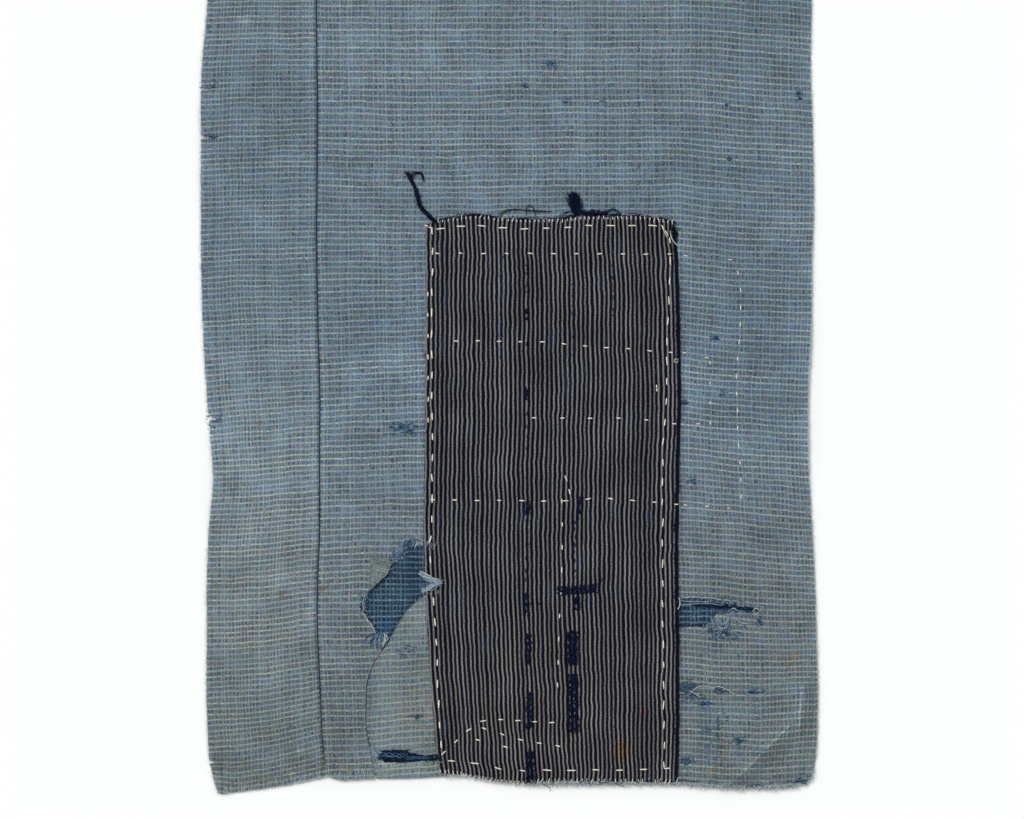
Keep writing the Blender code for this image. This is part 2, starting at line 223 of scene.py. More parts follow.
# Indigo darns worked over the stripes: where each starts and stops, its width, its threads and their colour
Darn = namedtuple("Darn", "start end width threads colour")
DARNS = tuple(
    Darn(*row)
    for row in (
        ((224.4, 335), (224.4, 326), 2.6, 4, "#0e1630"), ((224.6, 313), (224.4, 308), 2.0, 2, "#0e1630"),
        ((224.4, 281), (224.8, 271), 3.2, 6, "#0e1630"), ((225.0, 383), (224.6, 345), 1.6, 2, "#16284a"),
        ((225.0, 264), (224.6, 210), 1.4, 2, "#111c38"), ((224.8, 202), (225.6, 193), 4.0, 8, "#0e1630"),
        ((225.0, 190), (224.6, 142), 1.6, 2, "#111c38"), ((224.4, 139), (224.0, 123), 4.2, 8, "#0e1630"),
        ((226.2, 111), (225.8, 89), 3.4, 8, "#0e1630"), ((227.0, 71), (226.2, 45), 4.6, 10, "#0e1630"),
        ((226.4, 31), (227.4, 8.8), 6.0, 13, "#0e1630"), ((227, 132.2), (235.4, 131.6), 1.6, 3, "#0e1630"),
        ((256.4, 113), (256.2, 90), 7.0, 18, "#0e1630"), ((256.6, 83), (257.2, 43), 7.6, 18, "#0e1630"),
        ((259.6, 136.6), (259.0, 128), 4.6, 8, "#0e1630"),
        ((245.2, 140.0), (272.5, 142.2), 6.0, 16, "#0e1630"),
        ((271, 142.6), (277.4, 150.2), 1.8, 3, "#0e1630"), ((262.2, 206), (259.6, 190), 2.4, 4, "#0e1630"),
        ((256.8, 352), (257.4, 296), 2.0, 3, "#16284a"), ((257.8, 190), (257.4, 150), 1.6, 2, "#111c38"),
        ((207.2, 372), (206.8, 300), 1.6, 3, "#1f3a63"), ((284.0, 376), (283.6, 330), 1.4, 2, "#1f3a63"),
        ((283.4, 70), (283.6, 30), 1.2, 2, "#1a2f52")
    )
)

# ---------------------------------------------------------------- colours


def linear(code):
    """The linear red, green and blue of an sRGB hex colour."""
    found = []
    for i in (1, 3, 5):
        share = int(code[i : i + 2], 16) / 255
        found.append(share / 12.92 if share <= 0.04045 else ((share + 0.055) / 1.055) ** 2.4)
    return tuple(found)


def rgba(code):
    """The same with a full alpha, as a colour socket takes it."""
    return (*linear(code), 1.0)


# ---------------------------------------------------------------- what a user may change

def colour(name, description, code):
    """A colour that a user may change."""
    return bpy.props.FloatVectorProperty(
        name=name, description=description, default=linear(code), size=3, subtype="COLOR", min=0.0, max=1.0
    )


def length(name, description, millimetres):
    """A length that a user may change."""
    return bpy.props.FloatProperty(
        name=name, description=description, default=millimetres * MM, unit="LENGTH", precision=5
    )


class BoroCheckSettings(bpy.types.PropertyGroup):
    """The washed check cotton of the two panels."""

    weft_pitch: length(
        "Weft line spacing", "Distance between two pale lines that run across the cloth", 4.12
    )
    warp_pitch: length("Warp line spacing", "Distance between two pale lines that run up the cloth", 2.62)
    ground: colour("Ground", "Blue of the cloth between its lines", "#616f79")
    line: colour("Lines", "Pale yarn of the check", "#a1aba9")


class BoroPatchSettings(bpy.types.PropertyGroup):
    """The striped patch."""

    stripe_pitch: length("Stripe spacing", "Distance from one tan stripe to the next", 3.1)
    tan: colour("Tan stripe", "Colour of the pale stripes", "#737372")
    dark: colour("Dark ground", "Near-black indigo between the stripes", "#0a0b17")


class BoroThreadSettings(bpy.types.PropertyGroup):
    """The sewing and darning threads."""

    diameter: length("Sewing thread", "Thickness of the cream sewing thread", 0.82)
    unevenness: bpy.props.FloatProperty(
        name="Unevenness", description="How much hand stitches differ from each other", default=0.16,
        min=0.0, max=0.6, subtype="FACTOR"
    )
    cream: colour("Cream thread", "Undyed cotton", "#efe5d6")
    indigo: colour("Indigo thread", "Indigo-dyed cotton of the tufts", "#0d1327")


class BoroStageSettings(bpy.types.PropertyGroup):
    """The floor, light and camera."""

    floor: colour("Floor", "Colour of the plain floor", "#eceded")
    sky: bpy.props.FloatProperty(
        name="Fill light", description="Strength of the even light from all round", default=0.72, min=0.0
    )
    sun: bpy.props.FloatProperty(
        name="Key light", description="Strength of the soft light from the upper left", default=1.82,
        min=0.0
    )
    view_width: length("View width", "Width of the floor in view", 706.6)


# ---------------------------------------------------------------- plan geometry


def curve_through(points, closed=False, steps=CURVE_STEPS):
    """A Catmull-Rom curve through the points, as an array of places."""
    points = np.asarray(points, float)
    count = len(points)
    found = []
    for i in range(count if closed else count - 1):
        picked = [i - 1, i, i + 1, i + 2]
        picked = [k % count if closed else min(max(k, 0), count - 1) for k in picked]
        before, start, end, after = points[picked]
        for step in range(steps):
            t = step / steps
            found.append(
                (-0.5 * t + t * t - 0.5 * t**3) * before
                + (1.0 - 2.5 * t * t + 1.5 * t**3) * start
                + (0.5 * t + 2.0 * t * t - 1.5 * t**3) * end
                + (-0.5 * t * t + 0.5 * t**3) * after
            )
    if not closed:
        found.append(points[-1])
    return np.array(found)


def spaced(line, step, closed=False):
    """The same line with points an even distance apart, about step long."""
    line = np.asarray(line, float)
    if closed:
        line = np.vstack([line, line[:1]])
    runs = np.hypot(*np.diff(line, axis=0).T[:2])
    along = np.concatenate([[0.0], np.cumsum(runs)])
    count = max(int(round(along[-1] / step)), 1)
    marks = np.linspace(0.0, along[-1], count + 1)
    if closed:
        marks = marks[:-1]
    return np.stack([np.interp(marks, along, line[:, k]) for k in range(line.shape[1])], axis=1)


def ragged(ring, amount, seed, softness=1):
    """A closed ring with each point moved in or out a little, as threads part unevenly along a cut."""
    draw = np.random.RandomState(seed)
    push = draw.normal(0.0, amount, len(ring))
    for _ in range(softness):
        push = (np.roll(push, 1) + 2 * push + np.roll(push, -1)) / 4
    run = np.roll(ring, -1, axis=0) - np.roll(ring, 1, axis=0)
    run /= np.maximum(np.hypot(run[:, 0], run[:, 1]), 1e-6)[:, None]
    return ring + np.stack([run[:, 1], -run[:, 0]], axis=1) * push[:, None]


def inside(rings, places):
    """Which places lie inside the first ring and outside the others, by counting crossings."""
    odd = np.zeros(len(places), bool)
    for ring in rings:
        start, end = ring, np.roll(ring, -1, axis=0)
        for chunk in range(0, len(places), 4000):
            across, up = places[chunk : chunk + 4000].T[:, :, None]
            spans = (start[:, 1] > up) != (end[:, 1] > up)
            rise = np.where(end[:, 1] == start[:, 1], 1.0, end[:, 1] - start[:, 1])
            meet = start[:, 0] + (up - start[:, 1]) * (end[:, 0] - start[:, 0]) / rise
            odd[chunk : chunk + 4000] ^= (spans & (across < meet)).sum(axis=1) % 2 == 1
    return odd


def away_from(line, places):
    """The distance from each place to a line of points."""
    line = np.asarray(line, float)
    found = np.full(len(places), 1e9)
    for start, end in zip(line, line[1:]):
        run = end - start
        share = np.clip(((places - start) @ run) / max(run @ run, 1e-9), 0.0, 1.0)
        found = np.minimum(found, np.hypot(*(places - start - share[:, None] * run).T))
    return found


def ease(t):
    """0 to 1 as t goes from 0 to 1, level at both ends."""
    t = np.clip(t, 0.0, 1.0)
    return t * t * (3.0 - 2.0 * t)


def side_values(up, side):
    """Where one of the long edges lies across, at each height up the cloth."""
    edge = curve_through([(getattr(s, side), s.up) for s in SECTIONS])
    return np.interp(up, edge[:, 1], edge[:, 0])


# ---------------------------------------------------------------- heights

PUCKER_DEPTH = 0.5  # how far a row of stitches draws the cloth down
PUCKER_HALF = 4.0
HEM_BAND = 6.5  # width of the turned hem
HEM_RAISE = 0.3
SEAM_BAND = 5.0  # width of the turning beside the seam
SEAM_RAISE = 0.4
CRUMPLE = 0.16  # height of the small unevenness of washed cotton
RIM_DROP = 0.55  # how far the patch's sewn edge is pulled down on the panel
RIM_HALF = 2.6


# Sharp creases that have been pressed in, each along a line
CREASES = (
    ((414.6, 74.5), (413.2, 60.0), (411.8, 42.0)),
    ((405.0, 47.0), (396.0, 38.4), (384.0, 26.0), (369.5, 12.0)), ((366.0, 8.0), (358.0, 6.4))
)
CREASE_HALF = 2.6
CREASE_RAISE = 0.75


def lying_height(places):
    """How high the undersides of the panels lie: folds, and the rise over the backing."""
    across, up = places.T
    past_side = np.maximum(np.maximum(BACKING_LOW[0] - across, across - BACKING_HIGH[0]), 0.0)
    past_end = np.maximum(np.maximum(BACKING_LOW[1] - up, up - BACKING_HIGH[1]), 0.0)
    past = np.hypot(past_side, past_end)
    height = (CAD_SHEET + GAP) * ease((RISE_END - past) / (RISE_END - RISE_START))
    for fold in FOLDS:
        height += fold.height * ease(1.0 - away_from([fold.start, fold.end], places) / fold.half_width)
    return height


def crumpled(places, seed, size):
    """A smooth unevenness, from a few seeded waves of about the given size in millimetres."""
    draw = np.random.RandomState(seed)
    height = np.zeros(len(places))
    for _ in range(14):
        angle = draw.uniform(0.0, math.pi)
        length = size * draw.uniform(0.6, 1.9)
        phase = draw.uniform(0.0, 2.0 * math.pi)
        along = places @ np.array([math.cos(angle), math.sin(angle)])
        height += np.sin(along * 2.0 * math.pi / length + phase) * length / size
    return height / 5.0


def puckered(places, rows):
    """The drawn-in troughs along rows of stitches."""
    height = np.zeros(len(places))
    for row in rows:
        near = away_from(row.line, places)
        height = np.minimum(height, -PUCKER_DEPTH * ease(1.0 - near / PUCKER_HALF))
        height += 0.16 * ease(1.0 - np.abs(near - 7.0) / 5.0)
    return height


def panel_height(places):
    """The upper face of the panels and the repair."""
    across, up = places.T
    height = lying_height(places) + THICK + CRUMPLE * crumpled(places, 11, 30.0) * 0.6
    hem = np.vstack(
        [curve_through(SIDE_HEM)[6:], curve_through(MAIN_HEM_LEFT), curve_through(MAIN_HEM_RIGHT)]
    )
    from_hem = away_from(hem, places)
    height += HEM_RAISE * ease((HEM_BAND - from_hem) / 0.8 + 0.5)
    from_top = 640.0 - up
    height += HEM_RAISE * ease((HEM_BAND - from_top) / 0.8 + 0.5)
    beyond = across - side_values(up, "seam")
    height += np.where(beyond > 0.0, SEAM_RAISE * ease((SEAM_BAND - beyond) / 3.0), 0.0)
    height -= 0.5 * ease(1.0 - np.abs(beyond) / 1.4)
    for crease in CREASES:
        height += CREASE_RAISE * ease(1.0 - away_from(crease, places) / CREASE_HALF)
    return height + puckered(places, PANEL_ROWS)


def patch_height(places):
    """The upper face of the striped patch."""
    height = lying_height(places) + CAD_SHEET + GAP + THICK + CRUMPLE * crumpled(places, 23, 24.0)
    height += puckered(places, (*PATCH_ROWS, LEFT_COLUMN))
    rim = curve_through(PATCH_OUTLINE, closed=True)
    from_rim = away_from(np.vstack([rim, rim[:1]]), places)
    return height - RIM_DROP * ease(1.0 - from_rim / RIM_HALF) + 0.12 * ease(
        1.0 - np.abs(from_rim - 5.0) / 4.0
    )


def backing_height(places):
    """The upper face of the indigo backing."""
    return CAD_SHEET * 0.9 + 0.1 * crumpled(places, 5, 26.0)


def face_height(places):
    """The uppermost cloth's face, worked out in full."""
    panel, backing = panel_height(places), backing_height(places)
    torn = inside([torn_corner_ring()], places) & ~inside([repair_ring(), np.array(LOW_SLIT)], places)
    bare = torn | inside([np.array(RIGHT_TEAR)], places) | inside([np.array(LOW_SLIT)], places)
    height = np.where(bare, backing, panel)
    return np.where(inside([patch_ring()], places), patch_height(places), height)


MAP_STEP = 1.0  # spacing of the height map in millimetres
MAP_REACH = (-8.0, -8.0, 436.0, 650.0)
height_map = []


def top_height(places):
    """The face that a thread laid over the cloth rests on, from a map that is worked out once."""
    columns = np.arange(MAP_REACH[0], MAP_REACH[2], MAP_STEP)
    rows = np.arange(MAP_REACH[1], MAP_REACH[3], MAP_STEP)
    if not height_map:
        grid = np.stack(np.meshgrid(columns, rows), axis=2).reshape(-1, 2)
        height_map.append(face_height(grid).reshape(len(rows), len(columns)))
    known = height_map[0]
    across, up = np.asarray(places, float).reshape(-1, 2).T
    column = np.clip((across - MAP_REACH[0]) / MAP_STEP, 0.0, len(columns) - 1.001)
    row = np.clip((up - MAP_REACH[1]) / MAP_STEP, 0.0, len(rows) - 1.001)
    i, j = row.astype(int), column.astype(int)
    v, u = row - i, column - j
    low = known[i, j] * (1.0 - u) + known[i, j + 1] * u
    high = known[i + 1, j] * (1.0 - u) + known[i + 1, j + 1] * u
    return low * (1.0 - v) + high * v


# ---------------------------------------------------------------- outlines


def left_edge():
    """The side panel's outer edge from the bottom up, with its nicks cut in."""
    edge = curve_through([(s.left, s.up) for s in SECTIONS])
    for nick in NICKS:
        beside = np.interp(nick.up, edge[:, 1], edge[:, 0])
        edge = edge[np.abs(edge[:, 1] - nick.up) > nick.half_width]
        cut = [
            (beside + 0.2, nick.up - nick.half_width), (beside + nick.depth, nick.up - nick.half_width / 4),
            (beside + nick.depth, nick.up + nick.half_width / 4), (beside + 0.2, nick.up + nick.half_width)
        ]
        edge = np.vstack([edge, cut])
        edge = edge[np.argsort(edge[:, 1])]
    return edge


def seam_edge(side):
    """The seam from the bottom up, moved half the gap to one side of it."""
    return curve_through([(s.seam + side * GAP / 2, s.up) for s in SECTIONS])


def side_ring():
    """The narrow panel, anticlockwise: hem, seam, top, outer edge."""
    return np.vstack([curve_through(SIDE_HEM), seam_edge(-1), left_edge()[::-1]])


def main_ring():
    """The wide panel, anticlockwise, with the torn corner left out of it."""
    torn = curve_through(REPAIR_LEFT)[:-1] - (GAP, 0.0)
    outer = curve_through([(s.right, s.up) for s in SECTIONS])
    return np.vstack(
        [MAIN_HEM_LEFT, torn, LEFT_TEAR, curve_through(MAIN_HEM_RIGHT), outer, seam_edge(1)[::-1]]
    )


def torn_corner_ring():
    """What the wide panel has lost left of the patch."""
    torn = curve_through(REPAIR_LEFT)[:-1] - (GAP, 0.0)
    return np.vstack([torn, LEFT_TEAR, [(170.3, 12.6), (119.6, 10.8)]])


def repair_ring():
    """The pale repair, anticlockwise."""
    return np.vstack([REPAIR_FOOT, curve_through(REPAIR_TOP)[::-1], curve_through(REPAIR_LEFT)[::-1]])


def patch_ring():
    """The striped patch's corners, anticlockwise."""
    return np.array(PATCH_OUTLINE)[::-1]


# ---------------------------------------------------------------- making meshes


def placed(places, heights):
    """World points, in metres, of places in the plan at heights above the surface."""
    across, up = np.asarray(places, float).T
    return np.stack([CAD_LOW.x + across * MM, CAD_LOW.y + up * MM, np.asarray(heights, float) * MM], axis=1)


def rows_beside(line, offsets):
    """Points in rows beside a line, at each of the given distances to its left."""
    line = spaced(np.array(line), 1.6)
    run = np.gradient(line, axis=0)
    run /= np.maximum(np.hypot(run[:, 0], run[:, 1]), 1e-6)[:, None]
    leftward = np.stack([-run[:, 1], run[:, 0]], axis=1)
    return np.vstack([line + leftward * offset for offset in offsets])


def lattice(rings, spacing, seed, lines):
    """Even points inside the rings, in staggered rows, with finer rows along every edge and crease."""
    tree = KDTree(sum(len(ring) for ring in rings))
    edge_rows = []
    for ring in rings:
        run = np.roll(ring, -1, axis=0) - np.roll(ring, 1, axis=0)
        run /= np.maximum(np.hypot(run[:, 0], run[:, 1]), 1e-6)[:, None]
        inward = np.stack([-run[:, 1], run[:, 0]], axis=1)
        for depth in (0.7, 1.7):
            edge_rows.append(ring + inward * depth)
        for point in ring:
            tree.insert((*point, 0.0), 0)
    tree.balance()
    edge_rows = np.vstack(edge_rows)
    low, high = rings[0].min(axis=0), rings[0].max(axis=0)
    rows = np.arange(low[1] + spacing / 2, high[1], spacing * 0.87)
    columns = np.arange(low[0] + spacing / 2, high[0], spacing)
    grid = np.array([(c + (spacing / 2 if i % 2 else 0.0), r) for i, r in enumerate(rows) for c in columns])
    grid += np.random.RandomState(seed).uniform(-0.12, 0.12, grid.shape) * spacing
    groups = [(edge_rows, 0.62), (grid, 1.7 + spacing * 0.5)]
    if lines:
        creases = np.vstack([rows_beside(line, (-1.5, -0.7, 0.0, 0.7, 1.5)) for line in lines])
        beside = KDTree(len(creases))
        for point in creases:
            beside.insert((*point, 0.0), 0)
        beside.balance()
        grid = grid[[beside.find((*point, 0.0))[2] >= 1.3 for point in grid]]
        groups = [(edge_rows, 0.62), (grid, 1.7 + spacing * 0.5), (creases, 2.3)]
    kept = []
    for points, least in groups:
        points = points[inside(rings, points)]
        clear = [tree.find((*point, 0.0))[2] >= least for point in points]
        kept.append(points[np.array(clear)])
    return np.vstack(kept)


def sheet_object(name, rings, spacing, height, weave, seed, thick=THICK, lines=()):
    """One closed sheet of cloth, filled to its edges, with its weave's coordinates on it."""
    inner = lattice(rings, spacing, seed, lines)
    edges, first = [], 0
    for ring in rings:
        edges += [(first + i, first + (i + 1) % len(ring)) for i in range(len(ring))]
        first += len(ring)
    points = np.vstack([*rings, inner])
    found = delaunay_2d_cdt([Vector(p) for p in points], edges, [], 0, 1e-5)
    places = np.array([tuple(p) for p in found[0]])
    faces = np.array(found[2])
    faces = faces[inside(rings, places[faces].mean(axis=1))]
    used, faces = np.unique(faces, return_inverse=True)
    places, faces = places[used], faces.reshape(-1, 3)
    corner = places[faces]
    turn = np.cross(corner[:, 1] - corner[:, 0], corner[:, 2] - corner[:, 0])
    faces[turn < 0] = faces[turn < 0][:, ::-1]
    faces = faces[np.abs(turn) > 1e-9]

    count = len(places)
    sides = np.vstack([faces[:, [0, 1]], faces[:, [1, 2]], faces[:, [2, 0]]])
    keys = np.sort(sides, axis=1) @ np.array([count, 1])
    _, first_use, uses = np.unique(keys, return_index=True, return_counts=True)
    rim = sides[first_use[uses == 1]]
    walls = [(a + count, b + count, b, a) for a, b in rim]
    top = height(places)
    world = np.vstack([placed(places, top), placed(places, top - thick)])

    mesh = bpy.data.meshes.new(name)
    mesh.from_pydata(world.tolist(), [], [*faces.tolist(), *(faces[:, ::-1] + count).tolist(), *walls])
    mesh.validate()
    corners = np.zeros(len(mesh.loops), np.int32)
    mesh.loops.foreach_get("vertex_index", corners)
    layer = mesh.uv_layers.new(name="Weave")
    layer.data.foreach_set("uv", (weave(places) * MM)[corners % count].astype(np.float32).ravel())
    mesh.shade_smooth()
    mesh.set_sharp_from_angle(angle=math.radians(50))
    return linked(name, mesh), places


def linked(name, mesh):
    """An object for a mesh, in the scene."""
    made = bpy.data.objects.new(name, mesh)
    bpy.context.scene.collection.objects.link(made)
    return made


def painted(made, name, values):
    """Gives a sheet a value or a colour at each of its points, the same above and below."""
    kind = "FLOAT" if values.ndim == 1 else "FLOAT_COLOR"
    layer = made.data.attributes.new(name, kind, "POINT")
    both = np.concatenate([values, values])
    if kind == "FLOAT":
        layer.data.foreach_set("value", both.astype(np.float32))
    else:
        full = np.concatenate([both, np.ones((len(both), 1))], axis=1)
        layer.data.foreach_set("color", full.astype(np.float32).ravel())


# ---------------------------------------------------------------- threads as tubes

Strand = namedtuple("Strand", "path radius colour")  # the path is (across, up, height) in millimetres


def tube(path, radius, sides, taper):
    """The points and faces of a closed round thread along a path, thinner at its ends if it tapers."""
    path = np.asarray(path, float)
    count = len(path)
    run = np.gradient(path, axis=0)
    run /= np.maximum(np.linalg.norm(run, axis=1), 1e-9)[:, None]
    side = np.cross(run[0], (0.0, 0.0, 1.0))
    if np.linalg.norm(side) < 1e-6:
        side = np.array([1.0, 0.0, 0.0])
    points = []
    for i in range(count):
        side = side - (side @ run[i]) * run[i]
        side /= max(np.linalg.norm(side), 1e-9)
        rise = np.cross(run[i], side)
        thin = min(i, count - 1 - i) / max(count - 1, 1)
        width = radius * (1.0 - taper * (1.0 - min(thin * 4.0, 1.0)))
        for k in range(sides):
            angle = 2.0 * math.pi * k / sides
            points.append(path[i] + width * (math.cos(angle) * side + math.sin(angle) * rise))
    faces = []
    for i in range(count - 1):
        for k in range(sides):
            low, high = i * sides, (i + 1) * sides
            after = (k + 1) % sides
            faces.append((low + k, low + after, high + after, high + k))
    faces.append(tuple(range(sides))[::-1])
    faces.append(tuple(range((count - 1) * sides, count * sides)))
    return np.array(points), faces


def strands_object(name, strands, sides=5, taper=0.35):
    """One object of many threads, each with its own colour on its points."""
    points, faces, colours = [], [], []
    first = 0
    for strand in strands:
        made, sides_of = tube(strand.path, strand.radius, sides, taper)
        points.append(made)
        faces += [tuple(first + k for k in face) for face in sides_of]
        colours += [(*strand.colour, 1.0)] * len(made)
        first += len(made)
    points = np.vstack(points)
    mesh = bpy.data.meshes.new(name)
    mesh.from_pydata(placed(points[:, :2], points[:, 2]).tolist(), [], faces)
    layer = mesh.attributes.new("Yarn", "FLOAT_COLOR", "POINT")
    layer.data.foreach_set("color", np.array(colours, np.float32).ravel())
    mesh.shade_smooth()
    made = linked(name, mesh)
    outward(made)
    return made


def outward(made):
    """Turns every face of closed tubes to point out."""
    shape = bmesh.new()
    shape.from_mesh(made.data)
    bmesh.ops.recalc_face_normals(shape, faces=shape.faces[:])
    shape.to_mesh(made.data)
    shape.free()


def laid(points, radius, lift=0.0, hump=0.0, step=1.2):
    """A smooth thread through places in the plan, resting on the cloth, with a low hump in its middle."""
    points = np.asarray(points, float)
    line = spaced(curve_through(points, steps=8) if len(points) > 2 else points, step)
    share = np.linspace(0.0, 1.0, len(line))
    height = top_height(line[:, :2]) + radius * 0.8 + lift + hump * np.sin(math.pi * share)
    if line.shape[1] > 2:
        height = height + line[:, 2]
    return np.column_stack([line[:, :2], height])


def plied(path, radius, plies, lay_length, seed):
    """The paths of the plies that are twisted together along a path."""
    path = np.asarray(path, float)
    run = np.gradient(path, axis=0)
    run /= np.maximum(np.linalg.norm(run, axis=1), 1e-9)[:, None]
    side = np.cross(run, (0.0, 0.0, 1.0))
    side /= np.maximum(np.linalg.norm(side, axis=1), 1e-9)[:, None]
    rise = np.cross(side, run)
    along = np.concatenate([[0.0], np.cumsum(np.linalg.norm(np.diff(path, axis=0), axis=1))])
    start = np.random.RandomState(seed).uniform(0.0, 2.0 * math.pi)
    found = []
    for ply in range(plies):
        turn = start + 2.0 * math.pi * (along / lay_length + ply / plies)
        found.append(path + radius * (np.cos(turn)[:, None] * side + np.sin(turn)[:, None] * rise))
    return found


# ---------------------------------------------------------------- node helper


# Node kinds, some with the settings that make each what it is
MULTIPLY, MULTIPLY_ADD, PLUS, MINUS, DIVIDE, ROUND, ABSOLUTE = (
    ("ShaderNodeMath", {"operation": name})
    for name in ("MULTIPLY", "MULTIPLY_ADD", "ADD", "SUBTRACT", "DIVIDE", "ROUND", "ABSOLUTE")
)
VECTOR_MULTIPLY, VECTOR_MULTIPLY_ADD, VECTOR_ADD, VECTOR_SCALE = (
    ("ShaderNodeVectorMath", {"operation": name}) for name in ("MULTIPLY", "MULTIPLY_ADD", "ADD", "SCALE")
)
BLEND, OVERLAY, TINTING = (
    ("ShaderNodeMix", {"data_type": "RGBA", "blend_type": name}) for name in ("MIX", "OVERLAY", "MULTIPLY")
)
NOISE = "ShaderNodeTexNoise"
FLAT_NOISE = (NOISE, {"noise_dimensions": "2D"})
RANGE = "ShaderNodeMapRange"
SMOOTH_RANGE = (RANGE, {"interpolation_type": "SMOOTHSTEP"})


def add(tree, kind, links=None, **settings):
    """Adds a node with its settings, and its inputs by name or number: a value, a socket or a node."""
    if isinstance(kind, tuple):
        kind, settings = kind[0], {**kind[1], **settings}
    made = tree.nodes.new(kind)
    for name, value in settings.items():
        setattr(made, name, value)
    for key, value in (links or {}).items():
        if isinstance(value, bpy.types.Node):
            value = value.outputs[0]
        if isinstance(value, bpy.types.NodeSocket):
            tree.links.new(value, made.inputs[key])
        else:
            made.inputs[key].default_value = value
    return made


# ---------------------------------------------------------------- stitches by Geometry Nodes


def stitch_tree():
    """Puts one thread stitch at every pitch along a row. The stitch is a bent tube whose ends go in."""
    name = "Hand stitches along a row"
    if name in bpy.data.node_groups:
        return bpy.data.node_groups[name]
    tree = bpy.data.node_groups.new(name, "GeometryNodeTree")
    tree.interface.new_socket("Row", in_out="INPUT", socket_type="NodeSocketGeometry")
    for label, kind, value in (
        ("Pitch", "NodeSocketFloat", 0.014), ("Length", "NodeSocketFloat", 0.006),
        ("Thickness", "NodeSocketFloat", 0.0008), ("Turn", "NodeSocketFloat", 0.0),
        ("Rise", "NodeSocketFloat", 0.0006), ("Unevenness", "NodeSocketFloat", 0.2),
        ("Seed", "NodeSocketInt", 0), ("Steps", "NodeSocketInt", 6), ("Sides", "NodeSocketInt", 6),
        ("Thread", "NodeSocketMaterial", None)
    ):
        socket = tree.interface.new_socket(label, in_out="INPUT", socket_type=kind)
        if value is not None:
            socket.default_value = value
    tree.interface.new_socket("Stitches", in_out="OUTPUT", socket_type="NodeSocketGeometry")
    given = add(tree, "NodeGroupInput").outputs

    curve = add(tree, "GeometryNodeMeshToCurve", {0: given["Row"]})
    points = add(
        tree, "GeometryNodeCurveToPoints", {"Curve": curve, "Length": given["Pitch"]}, mode="LENGTH"
    )

    # A hand stitch strays along its row and to the side by a share of its length
    stray = add(tree, MULTIPLY, {0: given["Unevenness"], 1: given["Length"]})
    stray_side = add(tree, MULTIPLY, {0: stray, 1: 0.35})
    stray_back = add(tree, MULTIPLY, {0: stray_side, 1: -1.0})
    most = add(tree, "ShaderNodeCombineXYZ", {0: stray_side, 1: stray_side, 2: 0.0})
    least = add(tree, "ShaderNodeCombineXYZ", {0: stray_back, 1: stray_back, 2: 0.0})
    shift = add(
        tree, "FunctionNodeRandomValue", {0: least, 1: most, "Seed": given["Seed"]},
        data_type="FLOAT_VECTOR"
    )
    moved = add(tree, "GeometryNodeSetPosition", {"Geometry": points.outputs["Points"], "Offset": shift})

    # One stitch: up out of the cloth, over, and back in
    half = add(tree, MULTIPLY, {0: given["Length"], 1: 0.5})
    back = add(tree, MULTIPLY, {0: half, 1: -1.0})
    dip = add(tree, MULTIPLY, {0: given["Thickness"], 1: -0.7})
    start = add(tree, "ShaderNodeCombineXYZ", {0: back, 1: 0.0, 2: dip})
    top = add(tree, "ShaderNodeCombineXYZ", {0: 0.0, 1: 0.0, 2: given["Rise"]})
    end = add(tree, "ShaderNodeCombineXYZ", {0: half, 1: 0.0, 2: dip})
    bend = add(
        tree, "GeometryNodeCurveQuadraticBezier",
        {"Resolution": given["Steps"], "Start": start, "Middle": top, "End": end}
    )
    radius = add(tree, MULTIPLY, {0: given["Thickness"], 1: 0.5})
    round_ = add(tree, "GeometryNodeCurvePrimitiveCircle", {"Resolution": given["Sides"], "Radius": radius})
    thread = add(
        tree, "GeometryNodeCurveToMesh", {"Curve": bend, "Profile Curve": round_, "Fill Caps": True}
    )

    # Each lies along the row, turned from it by the given angle and a little of its own
    aim = add(tree, "FunctionNodeAlignRotationToVector", {"Vector": points.outputs["Tangent"]}, axis="X")
    wobble_most = add(tree, MULTIPLY, {0: given["Unevenness"], 1: 0.7})
    wobble_least = add(tree, MULTIPLY, {0: wobble_most, 1: -1.0})
    other_seed = add(tree, PLUS, {0: given["Seed"], 1: 17.0})
    wobble = add(
        tree, "FunctionNodeRandomValue", {2: wobble_least, 3: wobble_most, "Seed": other_seed},
        data_type="FLOAT"
    )
    angle = add(tree, PLUS, {0: given["Turn"], 1: wobble.outputs[1]})
    spin = add(tree, "ShaderNodeCombineXYZ", {0: 0.0, 1: 0.0, 2: angle})
    turned = add(
        tree, "FunctionNodeRotateRotation", {"Rotation": aim, "Rotate By": spin}, rotation_space="LOCAL"
    )
    longest = add(tree, PLUS, {0: 1.0, 1: given["Unevenness"]})
    shortest = add(tree, MINUS, {0: 1.0, 1: given["Unevenness"]})
    size_seed = add(tree, PLUS, {0: given["Seed"], 1: 31.0})
    long_ = add(
        tree, "FunctionNodeRandomValue", {2: shortest, 3: longest, "Seed": size_seed}, data_type="FLOAT"
    )
    scale = add(tree, "ShaderNodeCombineXYZ", {0: long_.outputs[1], 1: 1.0, 2: 1.0})
    sewn = add(
        tree, "GeometryNodeInstanceOnPoints",
        {"Points": moved, "Instance": thread, "Rotation": turned, "Scale": scale}
    )
    real = add(tree, "GeometryNodeRealizeInstances", {0: sewn})
    smooth = add(tree, "GeometryNodeSetShadeSmooth", {0: real})
    finish = add(tree, "GeometryNodeSetMaterial", {"Geometry": smooth, "Material": given["Thread"]})
    add(tree, "NodeGroupOutput", {"Stitches": finish})
    return tree


